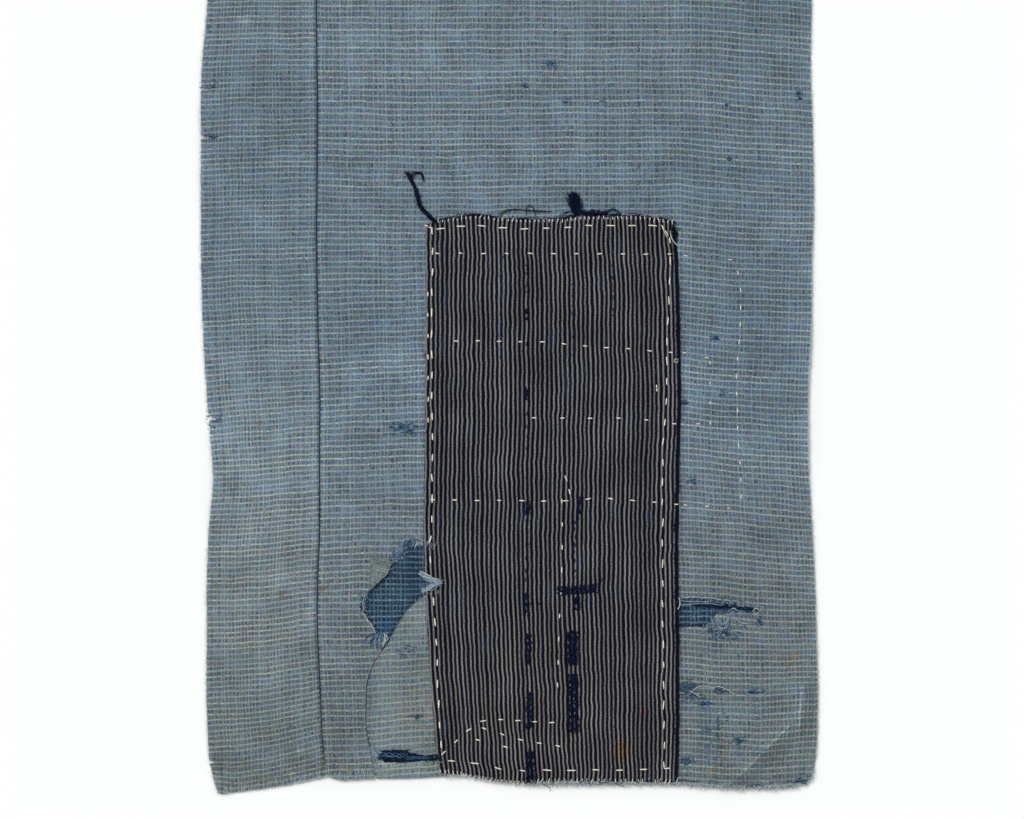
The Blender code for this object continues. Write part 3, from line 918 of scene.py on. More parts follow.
def row_stitches(
    line, height, thread, pitch, long, thick, turn=0.0, rise=0.3, stray=0.9, seed=0, steps=6, sides=6
):
    """The mesh of one row's stitches. The line is in the plan, in millimetres like the sizes. The turn is
    in degrees."""
    sizes = {
        "Pitch": pitch * MM, "Length": long * MM, "Thickness": thick * MM, "Turn": math.radians(turn),
        "Rise": rise * MM, "Unevenness": stray, "Seed": seed, "Steps": steps, "Sides": sides,
        "Thread": thread
    }
    path = spaced(np.asarray(line, float), 1.5)
    world = placed(path, height(path)).tolist()
    mesh = bpy.data.meshes.new("row")
    mesh.from_pydata(world, [(i, i + 1) for i in range(len(world) - 1)], [])
    row = linked("row", mesh)
    step = row.modifiers.new("Stitches", "NODES")
    step.node_group = stitch_tree()
    for item in step.node_group.interface.items_tree:
        if item.item_type == "SOCKET" and item.in_out == "INPUT" and item.name in sizes:
            step[item.identifier] = sizes[item.name]
    bpy.context.view_layer.update()
    done = row.evaluated_get(bpy.context.evaluated_depsgraph_get())
    made = bpy.data.meshes.new_from_object(done)
    bpy.data.objects.remove(row, do_unlink=True)
    return made


def joined(name, meshes, material):
    """One object of several meshes."""
    shape = bmesh.new()
    for mesh in meshes:
        shape.from_mesh(mesh)
        bpy.data.meshes.remove(mesh)
    bmesh.ops.recalc_face_normals(shape, faces=shape.faces[:])
    whole = bpy.data.meshes.new(name)
    shape.to_mesh(whole)
    shape.free()
    if not whole.vertices:
        raise RuntimeError(f"{name}: no stitches were made")
    whole.materials.clear()
    whole.materials.append(material)
    whole.shade_smooth()
    return linked(name, whole)


# ---------------------------------------------------------------- materials

def blank_material(name, roughness, specular, sheen):
    """A matt cloth material's tree and shader. What is the same all over is set on the shader itself."""
    material = bpy.data.materials.new(name)
    material.use_nodes = True
    tree = material.node_tree
    shader = tree.nodes["Principled BSDF"]
    shader.inputs["Roughness"].default_value = roughness
    shader.inputs["Specular IOR Level"].default_value = specular
    shader.inputs["Sheen Weight"].default_value = sheen
    shader.inputs["Sheen Roughness"].default_value = 0.6
    return material, tree, shader


def line_group():
    """Lines of a woven check: how far a place is from its line's middle, and a tone of that line's own."""
    name = "Yarn lines"
    if name in bpy.data.node_groups:
        return bpy.data.node_groups[name]
    tree = bpy.data.node_groups.new(name, "ShaderNodeTree")
    for label, value in (
        ("Place", 0.0), ("Pitch", 4.0), ("Width", 1.0), ("Softness", 0.2), ("Stray", 0.3), ("Seed", 0.0)
    ):
        socket = tree.interface.new_socket(label, in_out="INPUT", socket_type="NodeSocketFloat")
        socket.default_value = value
    for label in ("Line", "Tone"):
        tree.interface.new_socket(label, in_out="OUTPUT", socket_type="NodeSocketFloat")
    given = add(tree, "NodeGroupInput").outputs
    share = add(tree, DIVIDE, {0: given["Place"], 1: given["Pitch"]})
    number = add(tree, ROUND, {0: share})
    key = add(tree, PLUS, {0: number, 1: given["Seed"]})
    chance = add(tree, "ShaderNodeTexWhiteNoise", {"W": key}, noise_dimensions="1D")
    other = add(tree, PLUS, {0: key, 1: 0.37})
    tone = add(tree, "ShaderNodeTexWhiteNoise", {"W": other}, noise_dimensions="1D")
    off = add(tree, MINUS, {0: share, 1: number})
    off_mm = add(tree, MULTIPLY, {0: off, 1: given["Pitch"]})
    centred = add(tree, MINUS, {0: chance, 1: 0.5})
    strayed = add(tree, MULTIPLY_ADD, {0: centred, 1: given["Stray"], 2: off_mm})
    distance = add(tree, ABSOLUTE, {0: strayed})
    half = add(tree, MULTIPLY, {0: given["Width"], 1: 0.5})
    outer = add(tree, PLUS, {0: half, 1: given["Softness"]})
    inner = add(tree, MINUS, {0: half, 1: given["Softness"]})
    line = add(tree, SMOOTH_RANGE, {"Value": distance, "From Min": outer, "From Max": inner})
    add(tree, "NodeGroupOutput", {"Line": line, "Tone": tone})
    return tree


Check = namedtuple(
    "Check",
    "ground shade tint cloud weft_cream weft_blue warp weft_pitch weft_width weft_share "
    "warp_pitch warp_width warp_share bump seed"
)


def check_cotton(name, look):
    """Plain-weave cotton yarn-dyed in a small check. Matt, with pale lines both ways that break up as they
    pass over and under, and a mottled ground where the indigo has faded yarn by yarn to teal, grey and
    mauve. The yarns are about 0.4 mm thick, too fine to show whole, so streaks and grain are drawn at
    about 0.9 mm."""
    material, tree, shader = blank_material(name, 0.95, 0.12, 0.03)
    weave = add(tree, "ShaderNodeUVMap", uv_map="Weave")
    mm = add(tree, VECTOR_SCALE, {0: weave, "Scale": 1.0 / MM})

    # The lines wander: slowly over 30 mm, and a little over 6 mm
    slow = add(tree, FLAT_NOISE, {"Vector": mm, "Scale": 1 / 30, "Detail": 1.0})
    quick = add(tree, FLAT_NOISE, {"Vector": mm, "Scale": 1 / 6, "Detail": 0.0})
    drift = add(
        tree, VECTOR_MULTIPLY_ADD, {0: slow.outputs["Color"], 1: (2.0, 2.0, 0.0), 2: (-1.25, -1.25, 0.0)}
    )
    drift = add(tree, VECTOR_MULTIPLY_ADD, {0: quick.outputs["Color"], 1: (0.5, 0.5, 0.0), 2: drift})
    moved = add(tree, VECTOR_ADD, {0: mm, 1: drift})
    parts = add(tree, "ShaderNodeSeparateXYZ", {0: moved})

    lines = []
    for place, pitch, width, stray, seed in (
        (parts.outputs["Y"], look.weft_pitch, look.weft_width, 0.6, look.seed),
        (parts.outputs["X"], look.warp_pitch, look.warp_width, 1.1, look.seed + 40.0)
    ):
        group = add(tree, "ShaderNodeGroup", node_tree=line_group())
        for key, value in (
            ("Pitch", pitch), ("Width", width), ("Softness", 0.42), ("Stray", stray), ("Seed", seed)
        ):
            group.inputs[key].default_value = value
        tree.links.new(place, group.inputs["Place"])
        lines.append(group)
    weft, warp = lines

    # Streaks of single yarns both ways, the grain of their crossings, and slow clouds of fading
    along_weft = add(tree, VECTOR_MULTIPLY, {0: moved, 1: (1 / 5.0, 1 / 0.8, 0.0)})
    along_warp = add(tree, VECTOR_MULTIPLY, {0: moved, 1: (1 / 0.8, 1 / 6.0, 0.0)})
    weft_streak = add(tree, FLAT_NOISE, {"Vector": along_weft, "Scale": 1.0, "Detail": 1.0})
    warp_streak = add(tree, FLAT_NOISE, {"Vector": along_warp, "Scale": 1.0, "Detail": 1.0})
    grain = add(tree, FLAT_NOISE, {"Vector": mm, "Scale": 1 / 1.0, "Detail": 2.0})
    cloudy = add(tree, FLAT_NOISE, {"Vector": mm, "Scale": 1 / 17, "Detail": 3.0, "Roughness": 0.6})

    band_place = add(tree, VECTOR_MULTIPLY, {0: moved, 1: (1 / 2.2, 1 / 28.0, 0.0)})
    band = add(tree, FLAT_NOISE, {"Vector": band_place, "Scale": 1.0, "Detail": 2.0})
    both = add(tree, PLUS, {0: weft_streak, 1: warp_streak})
    both = add(tree, MULTIPLY_ADD, {0: band, 1: 0.5, 2: both})
    tone = add(tree, MULTIPLY_ADD, {0: grain, 1: 1.3, 2: both})
    tone = add(tree, MULTIPLY_ADD, {0: cloudy, 1: 1.0, 2: tone})
    fade = add(tree, RANGE, {"Value": tone, "From Min": 2.06, "From Max": 2.74})
    ground = add(tree, BLEND, {0: fade, 6: rgba(look.shade), 7: (*look.ground, 1.0)})
    odd = add(tree, BLEND, {0: 0.5, 6: warp_streak.outputs["Color"], 7: grain.outputs["Color"]})
    odd = add(tree, VECTOR_MULTIPLY_ADD, {0: odd.outputs[2], 1: (1.8, 1.8, 1.8), 2: (-0.4, -0.4, -0.4)})
    ground = add(tree, OVERLAY, {0: look.tint, 6: ground.outputs[2], 7: odd.outputs[0]})

    # The pale lines, each of its own strength, broken where the other yarns pass over them
    weft_colour = add(
        tree, BLEND, {0: weft.outputs["Tone"], 6: rgba(look.weft_blue), 7: (*look.weft_cream, 1.0)}
    )
    strengths = []
    for group, crossing, low, share in (
        (weft, warp_streak, 0.72, look.weft_share), (warp, weft_streak, 0.3, look.warp_share)
    ):
        own = add(tree, RANGE, {"Value": group.outputs["Tone"], "To Min": low * share, "To Max": share})
        over = add(tree, MULTIPLY_ADD, {0: grain, 1: 0.8, 2: crossing})
        over = add(
            tree, RANGE, {"Value": over, "From Min": 0.74, "From Max": 1.06, "To Min": 1.0, "To Max": 0.12}
        )
        both_ways = add(tree, MULTIPLY, {0: own.outputs[0], 1: over.outputs[0]})
        strengths.append(add(tree, MULTIPLY, {0: group.outputs["Line"], 1: both_ways}, use_clamp=True))
    weft_fac, warp_fac = strengths

    # Worn places, where the pale yarns are gone and blue fibres show in short slits along the weft
    worn = add(tree, "ShaderNodeAttribute", attribute_name="Worn")
    slit_place = add(tree, VECTOR_MULTIPLY, {0: moved, 1: (1 / 3.6, 1 / 1.3, 0.0)})
    slit = add(tree, FLAT_NOISE, {"Vector": slit_place, "Scale": 1.0, "Detail": 2.0})
    bare = add(tree, MULTIPLY_ADD, {0: worn.outputs["Fac"], 1: 0.47, 2: slit})
    bare = add(tree, SMOOTH_RANGE, {"Value": bare, "From Min": 0.8, "From Max": 0.95})
    kept = add(tree, MINUS, {0: 1.0, 1: bare})
    weft_fac = add(tree, MULTIPLY, {0: weft_fac, 1: kept})
    fibre = add(tree, BLEND, {0: grain, 6: rgba("#12263c"), 7: rgba("#41607c")})

    colour = add(tree, BLEND, {0: warp_fac, 6: ground.outputs[2], 7: rgba(look.warp)})
    colour = add(tree, BLEND, {0: bare, 6: colour.outputs[2], 7: fibre.outputs[2]})
    colour = add(tree, BLEND, {0: weft_fac, 6: colour.outputs[2], 7: weft_colour.outputs[2]})
    # Slow leaning of the whole cloth to grey-brown here and to blue there
    side = add(tree, RANGE, {"Value": cloudy, "From Min": 0.35, "From Max": 0.65})
    lean = add(tree, BLEND, {0: side.outputs[0], 6: rgba("#c4c1b8"), 7: rgba("#a9bac6")})
    colour = add(tree, OVERLAY, {0: look.cloud, 6: colour.outputs[2], 7: lean.outputs[2]})
    # Fading and stains, with painted shade and painted highlights, from the points of the sheet
    tint_and_light = add(tree, "ShaderNodeAttribute", attribute_name="Wash")
    colour = add(tree, TINTING, {0: 1.0, 6: colour.outputs[2], 7: tint_and_light.outputs["Color"]})
    tree.links.new(colour.outputs[2], shader.inputs["Base Color"])

    relief = add(tree, MULTIPLY_ADD, {0: weft.outputs["Line"], 1: 0.3, 2: tone})
    relief = add(tree, MULTIPLY_ADD, {0: bare, 1: -1.0, 2: relief})
    bump = add(tree, "ShaderNodeBump", {"Strength": look.bump, "Distance": 0.3 * MM, "Height": relief})
    tree.links.new(bump.outputs[0], shader.inputs["Normal"])
    return material


def striped_cotton(name, settings):
    """Plain-weave cotton with yarn-dyed warp stripes, tan on near-black indigo. Matt and a little crinkled,
    with stripes that lean and waver as the patch was quilted down. Weft yarns break the tan every 0.8 mm."""
    material, tree, shader = blank_material(name, 0.95, 0.05, 0.0)
    weave = add(tree, "ShaderNodeUVMap", uv_map="Weave")
    mm = add(tree, VECTOR_SCALE, {0: weave, "Scale": 1.0 / MM})
    slow_place = add(tree, VECTOR_MULTIPLY, {0: mm, 1: (1 / 34, 1 / 30, 0.0)})
    slow = add(tree, FLAT_NOISE, {"Vector": slow_place, "Scale": 1.0, "Detail": 2.0})
    kink_place = add(tree, VECTOR_MULTIPLY, {0: mm, 1: (1 / 14, 1 / 7, 0.0)})
    kink = add(tree, FLAT_NOISE, {"Vector": kink_place, "Scale": 1.0, "Detail": 1.0})
    drift = add(
        tree, VECTOR_MULTIPLY_ADD, {0: slow.outputs["Color"], 1: (2.4, 0.0, 0.0), 2: (-2.3, 0.0, 0.0)}
    )
    drift = add(tree, VECTOR_MULTIPLY_ADD, {0: kink.outputs["Color"], 1: (0.75, 0.0, 0.0), 2: drift})
    moved = add(tree, VECTOR_ADD, {0: mm, 1: drift})
    parts = add(tree, "ShaderNodeSeparateXYZ", {0: moved})

    pitch = settings.stripe_pitch / MM
    group = add(tree, "ShaderNodeGroup", node_tree=line_group())
    for key, value in (
        ("Pitch", pitch), ("Width", pitch * 0.33), ("Softness", 0.4), ("Stray", 0.4), ("Seed", 7.0)
    ):
        group.inputs[key].default_value = value
    tree.links.new(parts.outputs["X"], group.inputs["Place"])

    slub_place = add(tree, VECTOR_MULTIPLY, {0: moved, 1: (1 / 1.1, 1 / 0.9, 0.0)})
    slub = add(tree, FLAT_NOISE, {"Vector": slub_place, "Scale": 1.0, "Detail": 3.0, "Roughness": 0.7})
    cloudy = add(tree, FLAT_NOISE, {"Vector": mm, "Scale": 1 / 22, "Detail": 2.0})

    slub = add(tree, RANGE, {"Value": slub, "From Min": 0.3, "From Max": 0.7})
    tan_dark = tuple(c * 0.4 for c in settings.tan)
    tan_tone = add(tree, MULTIPLY_ADD, {0: group.outputs["Tone"], 1: 0.45, 2: slub})
    tan_tone = add(tree, MINUS, {0: tan_tone, 1: 0.2}, use_clamp=True)
    tan = add(tree, BLEND, {0: tan_tone, 6: (*tan_dark, 1.0), 7: (*(c * 1.5 for c in settings.tan), 1.0)})
    dark = add(tree, BLEND, {0: slub, 6: rgba("#04050b"), 7: (*(c * 1.7 for c in settings.dark), 1.0)})
    # Here and there a dark stripe has faded to mid blue
    streak_place = add(tree, VECTOR_MULTIPLY, {0: moved, 1: (1 / 2.4, 1 / 30, 0.0)})
    streak = add(tree, FLAT_NOISE, {"Vector": streak_place, "Scale": 1.0, "Detail": 2.0})
    faded = add(
        tree, RANGE, {"Value": streak, "From Min": 0.62, "From Max": 0.8, "To Min": 0.0, "To Max": 0.6}
    )
    dark = add(tree, BLEND, {0: faded, 6: dark.outputs[2], 7: rgba("#1d3350")})
    colour = add(tree, BLEND, {0: group.outputs["Line"], 6: dark.outputs[2], 7: tan.outputs[2]})

    # The turned edge along the right side is plain dark cloth
    border = add(tree, "ShaderNodeAttribute", attribute_name="Border")
    edge = add(
        tree, SMOOTH_RANGE,
        {"Value": border.outputs["Fac"], "From Min": 0.35, "From Max": 0.65, "To Min": 0.0, "To Max": 0.94}
    )
    colour = add(tree, BLEND, {0: edge, 6: colour.outputs[2], 7: rgba("#0a0e1e")})
    tone = add(tree, MULTIPLY_ADD, {0: cloudy, 1: 0.5, 2: 0.75})
    colour = add(tree, VECTOR_SCALE, {0: colour.outputs[2], "Scale": tone})
    # Stains, with any painted shade, from the points of the sheet
    tint_and_light = add(tree, "ShaderNodeAttribute", attribute_name="Wash")
    colour = add(tree, TINTING, {0: 1.0, 6: colour.outputs[0], 7: tint_and_light.outputs["Color"]})
    tree.links.new(colour.outputs[2], shader.inputs["Base Color"])
    relief = add(tree, MULTIPLY_ADD, {0: group.outputs["Line"], 1: 0.6, 2: slub})
    bump = add(tree, "ShaderNodeBump", {"Strength": 0.6, "Distance": 0.4 * MM, "Height": relief})
    tree.links.new(bump.outputs[0], shader.inputs["Normal"])
    return material


def thread_cotton(name, colour, specular, shade):
    """Twisted cotton thread: matt, with fibres that catch light unevenly along it. Fibre fuzz of about
    0.05 mm is too fine to show, so the light and dark are drawn about 1 mm long."""
    material, tree, shader = blank_material(name, 0.9, specular, 0.0)
    place = add(tree, "ShaderNodeTexCoord").outputs["Object"]
    fibre = add(tree, NOISE, {"Vector": place, "Scale": 1.0 / MM, "Detail": 2.0})
    tone = add(
        tree, RANGE, {"Value": fibre, "From Min": 0.3, "From Max": 0.7, "To Min": shade, "To Max": 1.0}
    )
    body = add(tree, VECTOR_SCALE, {0: colour, "Scale": tone})
    tree.links.new(body.outputs[0], shader.inputs["Base Color"])
    bump = add(tree, "ShaderNodeBump", {"Strength": 0.5, "Distance": 0.2 * MM, "Height": fibre})
    tree.links.new(bump.outputs[0], shader.inputs["Normal"])
    return material


def loose_yarn(name, specular, shade):
    """Single cotton yarns, soft and matt, each dyed or faded to its own blue or cream."""
    material, tree, shader = blank_material(name, 0.95, specular, 0.0)
    place = add(tree, "ShaderNodeTexCoord").outputs["Object"]
    fibre = add(tree, NOISE, {"Vector": place, "Scale": 0.8 / MM, "Detail": 2.0})
    tone = add(
        tree, RANGE, {"Value": fibre, "From Min": 0.3, "From Max": 0.7, "To Min": shade, "To Max": 1.1}
    )
    own = add(tree, "ShaderNodeAttribute", attribute_name="Yarn")
    body = add(tree, VECTOR_SCALE, {0: own.outputs["Color"], "Scale": tone})
    tree.links.new(body.outputs[0], shader.inputs["Base Color"])
    return material


def cream_thread():
    """The cream sewing thread's material, made once."""
    name = "Undyed cotton sewing thread"
    found = bpy.data.materials.get(name)
    settings = bpy.context.scene.boro_threads
    return found or thread_cotton(name, tuple(settings.cream), 0.2, 0.74)


def indigo_thread():
    """The dark darning thread's material, made once."""
    name = "Indigo cotton thread"
    return bpy.data.materials.get(name) or loose_yarn(name, 0.06, 0.55)


def yarn_material():
    """The pulled yarns' material, made once."""
    name = "Loose washed cotton yarn"
    return bpy.data.materials.get(name) or loose_yarn(name, 0.1, 0.7)


# ---------------------------------------------------------------- fading, stains and wear, with painted shade and painted highlights

# Overall fading up the cloth: height, and the tint that the base colour is multiplied by
WASH_UP = (
    (0.0, (0.98, 0.88, 0.75)), (30.0, (0.99, 0.9, 0.78)), (60.0, (0.99, 0.93, 0.82)),
    (110.0, (1.05, 0.96, 0.86)), (180.0, (1.05, 0.99, 0.93)), (250.0, (1.08, 1.07, 1.04)),
    (330.0, (0.98, 0.99, 0.98)), (440.0, (1.01, 1.0, 0.98)), (560.0, (1.05, 1.02, 0.98)),
    (640.0, (1.03, 1.0, 0.96))
)
# Local tints: place, half-widths across and up, and the tint at its middle
Tint = namedtuple("Tint", "across up half_across half_up tint")
TINTS = tuple(
    Tint(*row)
    for row in (
        (40, 460, 50, 130, (0.92, 0.94, 0.95)), (45, 215, 60, 140, (1.17, 1.14, 1.1)),
        (140, 505, 80, 52, (1.1, 1.1, 1.1)), (330, 428, 90, 40, (0.91, 0.93, 0.94)),
        (329, 262, 16, 46, (1.1, 1.11, 1.12)), (150, 300, 26, 120, (1.02, 1.03, 1.04)),
        (92, 205, 9, 60, (0.9, 0.92, 0.93)), (386, 560, 60, 90, (0.9, 0.92, 0.93)),
        (380, 300, 48, 90, (0.9, 0.91, 0.93)), (380, 140, 46, 80, (0.94, 0.93, 0.92)),
        (349, 46, 4.5, 24, (0.84, 0.92, 1.04)), (410.4, 95.4, 3.0, 5.0, (1.1, 0.92, 0.74)),
        (406.6, 90, 3.0, 2.6, (1.1, 0.9, 0.7)), (361.0, 29.0, 1.8, 6.0, (1.3, 1.02, 0.7)),
        (353.5, 17.0, 3.0, 3.0, (1.25, 1.02, 0.74)), (62.8, 13.6, 1.5, 2.2, (1.9, 1.35, 0.9)),
        (72.0, 15.0, 15, 4.0, (1.16, 1.14, 1.14)), (40.7, 256.0, 2.6, 2.6, (0.85, 0.6, 0.45)),
        (82.8, 142.1, 2.6, 2.6, (0.85, 0.6, 0.45)), (55.2, 138.0, 2.4, 2.4, (0.85, 0.6, 0.45)),
        (30.4, 533.4, 6.0, 4.0, (1.35, 1.35, 1.35)), (68.3, 30.4, 2.6, 2.2, (1.5, 1.5, 1.4))
    )
)
PATCH_TINTS = tuple(
    Tint(*row)
    for row in (
        (290.8, 30.0, 5.5, 8.5, (1.35, 0.95, 0.5)), (303.6, 57.3, 3.0, 3.0, (1.5, 0.8, 0.7)),
        (242, 60, 90, 70, (1.05, 1.0, 0.96))
    )
)
# Worn places: the same without a tint, and how worn
Wear = namedtuple("Wear", "across up half_across half_up amount")
WEAR = tuple(
    Wear(*row)
    for row in (
        (140.4, 252.5, 15, 6, 0.85), (336.0, 73.8, 8.5, 6.5, 1.05), (359.0, 71.4, 8, 3.0, 0.9),
        (382.0, 70.6, 9, 3.0, 0.9), (346.5, 62.6, 7, 3.6, 0.95), (341.0, 67.5, 6, 3.6, 0.9),
        (335.3, 23.1, 7.5, 4.6, 1.0), (370.5, 37.3, 6, 4.2, 1.0), (388.0, 28.0, 5, 4, 0.75),
        (351.0, 43.5, 8, 2.2, 0.95), (357.0, 40.0, 2.6, 20.0, 0.8), (413.0, 9.3, 7, 3, 1.1),
        (380.9, 6.2, 7, 2.4, 0.85), (240.8, 503.7, 6.5, 3.2, 0.95), (223.6, 488.5, 4.5, 3, 0.8),
        (251.2, 478.2, 3.5, 3, 0.8), (277.4, 478.2, 3, 3, 0.7), (362.9, 475.4, 3, 3, 0.75),
        (364.3, 438.2, 3, 3, 0.75), (412.6, 482.0, 3, 5, 0.95), (354.3, 314.6, 5, 3, 0.85),
        (359.5, 276.3, 3.6, 4, 0.8), (333.4, 269.8, 3.4, 3.4, 0.8), (338.4, 216.0, 4.4, 4.4, 0.85),
        (354.7, 133.5, 30, 3.6, 0.9), (358.0, 111.0, 12, 5.5, 0.85), (352.0, 107.0, 5, 3, 0.75),
        (348.0, 98.6, 4, 3.6, 0.75), (371.0, 96.6, 4.4, 3.0, 0.75), (372.6, 88.0, 1.8, 8.0, 0.6),
        (385.4, 119.6, 3.2, 6.5, 0.85), (112.1, 131.8, 3.6, 8, 0.85), (135.2, 166.0, 4, 4, 0.8),
        (123.5, 104.0, 5, 5, 0.7), (142.5, 99.4, 6, 6.5, 0.7), (147.7, 53.8, 8, 3, 0.8),
        (24.2, 240.1, 2.4, 2.4, 0.8), (118.0, 225.6, 2.6, 2.6, 0.8), (98.7, 187.0, 2.4, 2.4, 0.7),
        (26.9, 211.1, 2.2, 2.2, 0.7), (136.6, 196.7, 2.6, 2.6, 0.75), (19.3, 24.2, 2.4, 2.4, 0.75),
        (62.1, 46.9, 2.4, 2.4, 0.75), (78.0, 75.9, 2.4, 2.4, 0.7), (12.0, 259.0, 5, 6, 0.85),
        (8.0, 453.0, 4, 3, 1.0), (9.0, 487.0, 4.4, 2.6, 1.0), (6.0, 529.0, 3, 3, 1.0),
        (361.0, 52.0, 4, 5, 0.8), (349.0, 30.0, 4, 14, 0.66), (372.0, 28.0, 5, 4, 0.7),
        (352.0, 8.0, 8, 2.6, 0.9), (330.0, 9.5, 4, 3, 0.8)
    )
)


# Local tints of the repair: the two pale strips just below the low slit are a painted highlight of its lower
# edge, and the darker strip inside its left edge is painted shadow
REPAIR_TINTS = tuple(
    Tint(*row)
    for row in (
        (150, 60, 20, 18, (1.06, 0.98, 0.92)), (140, 17, 26, 6, (1.12, 1.12, 1.12)),
        (128, 20.6, 9, 2.2, (1.3, 1.3, 1.28)), (147, 20.8, 9, 2.2, (1.25, 1.25, 1.22)),
        (117, 60, 2.6, 40, (0.8, 0.82, 0.85))
    )
)
# Local tints of the backing in the left tear: the darker ones along the tear's left rim, under the repair's
# top edge and beside the patch are painted shade from the cloth above
BACKING_TINTS = tuple(
    Tint(*row)
    for row in (
        (134, 137, 12, 9, (1.2, 1.2, 1.08)), (116, 140, 5, 14, (0.7, 0.74, 0.82)),
        (136, 112, 10, 6, (0.8, 0.86, 0.94)), (146, 156, 8, 14, (0.85, 0.88, 0.95)),
        (128, 117, 9, 7, (0.9, 1.0, 1.1))
    )
)


def bell(places, spot):
    """1 in the middle of a spot, dying away to 0 past its half-widths."""
    off = np.hypot((places[:, 0] - spot.across) / spot.half_across, (places[:, 1] - spot.up) / spot.half_up)
    return ease(1.35 - off)


def washed(places, tints, seed, base=None):
    """The tint at each place: fading and stains, with painted highlights and painted shade along folds,
    creases, the seam, the repair's edge and beside the patch.
    """
    heights = [row[0] for row in WASH_UP]
    if base is None:
        tint = np.stack(
            [np.interp(places[:, 1], heights, [row[1][k] for row in WASH_UP]) for k in range(3)], axis=1
        )
    else:
        tint = np.tile(np.array(base, float), (len(places), 1))
    tint *= (1.0 + 0.05 * crumpled(places, seed, 60.0) + 0.05 * crumpled(places, seed + 2, 24.0))[:, None]
    if base is None:
        # Fold ridges are drawn lighter: painted highlight
        for fold in FOLDS[:9]:
            ridge = ease(1.0 - away_from([fold.start, fold.end], places) / (fold.half_width * 0.7))
            tint *= (1.0 + 0.07 * ridge)[:, None]
        # Each crease is lighter along its ridge, a painted highlight with some wear, and darker in a band to
        # its lower right, painted shade
        for crease in CREASES:
            near = away_from(crease, places)
            tint *= (1.0 + 0.5 * ease(1.0 - near / 1.3))[:, None]
            tint *= (
                1.0 - 0.2 * ease(1.0 - away_from(np.array(crease) + (6.5, -3.0), places) / 7.5)
            )[:, None]
        # The outer edges and hems are paler, and a line along the hem turning's inner edge is darker
        rim = np.vstack([curve_through(SIDE_HEM), MAIN_HEM_LEFT, curve_through(MAIN_HEM_RIGHT)])
        from_hem = away_from(rim, places)
        from_side = np.minimum(
            places[:, 0] - side_values(places[:, 1], "left"),
            side_values(places[:, 1], "right") - places[:, 0]
        )
        patchy = 1.0 + 0.5 * crumpled(places, seed + 5, 9.0)
        tint *= (1.0 + 0.42 * patchy * ease(1.0 - np.minimum(from_side, from_hem) / 1.5))[:, None]
        tint *= (1.0 + 0.1 * patchy * ease(1.0 - from_side / 9.0))[:, None]
        tint *= (1.0 + 0.12 * patchy * ease(1.0 - np.abs(from_hem - 3.0) / 3.2))[:, None]
        tint *= (1.0 - 0.24 * ease(1.0 - np.abs(from_hem - HEM_BAND) / 1.3))[:, None]
        # A pale line along the repair's left edge: painted highlight on the torn edge
        mend = away_from(curve_through(REPAIR_LEFT), places)
        tint *= (1.0 + 0.15 * ease(1.0 - mend / 1.6))[:, None]
        # Painted shadow of the patch on the panel beside its right edge
        from_patch_right_edge = away_from(np.array(PATCH_OUTLINE[18:27]), places)
        tint *= (1.0 - 0.35 * ease(1.0 - from_patch_right_edge / 4.5))[:, None]
        # Along the seam: a dark line in its groove, painted shade; a softer painted shadow to its left; a
        # painted highlight on the turned edge to its right; and a faint lighter band further left
        beyond = places[:, 0] - side_values(places[:, 1], "seam")
        tint *= (1.0 - 0.5 * ease(1.0 - np.abs(beyond + 0.3) / 1.3))[:, None]
        tint *= (1.0 - 0.13 * ease(1.0 - np.abs(beyond + 1.6) / 1.6))[:, None]
        tint *= (1.0 + 0.12 * ease(1.0 - np.abs(beyond - 2.4) / 2.0))[:, None]
        tint *= (1.0 + 0.06 * ease(1.0 - np.abs(beyond + 6.0) / 6.0))[:, None]
    for spot in tints:
        tint *= 1.0 + (np.array(spot.tint) - 1.0) * bell(places, spot)[:, None]
    return tint


def worn(places):
    """How worn each place is."""
    amount = np.zeros(len(places))
    for spot in WEAR:
        amount = np.maximum(amount, spot.amount * bell(places, spot))
    return amount


# ---------------------------------------------------------------- how the weave lies

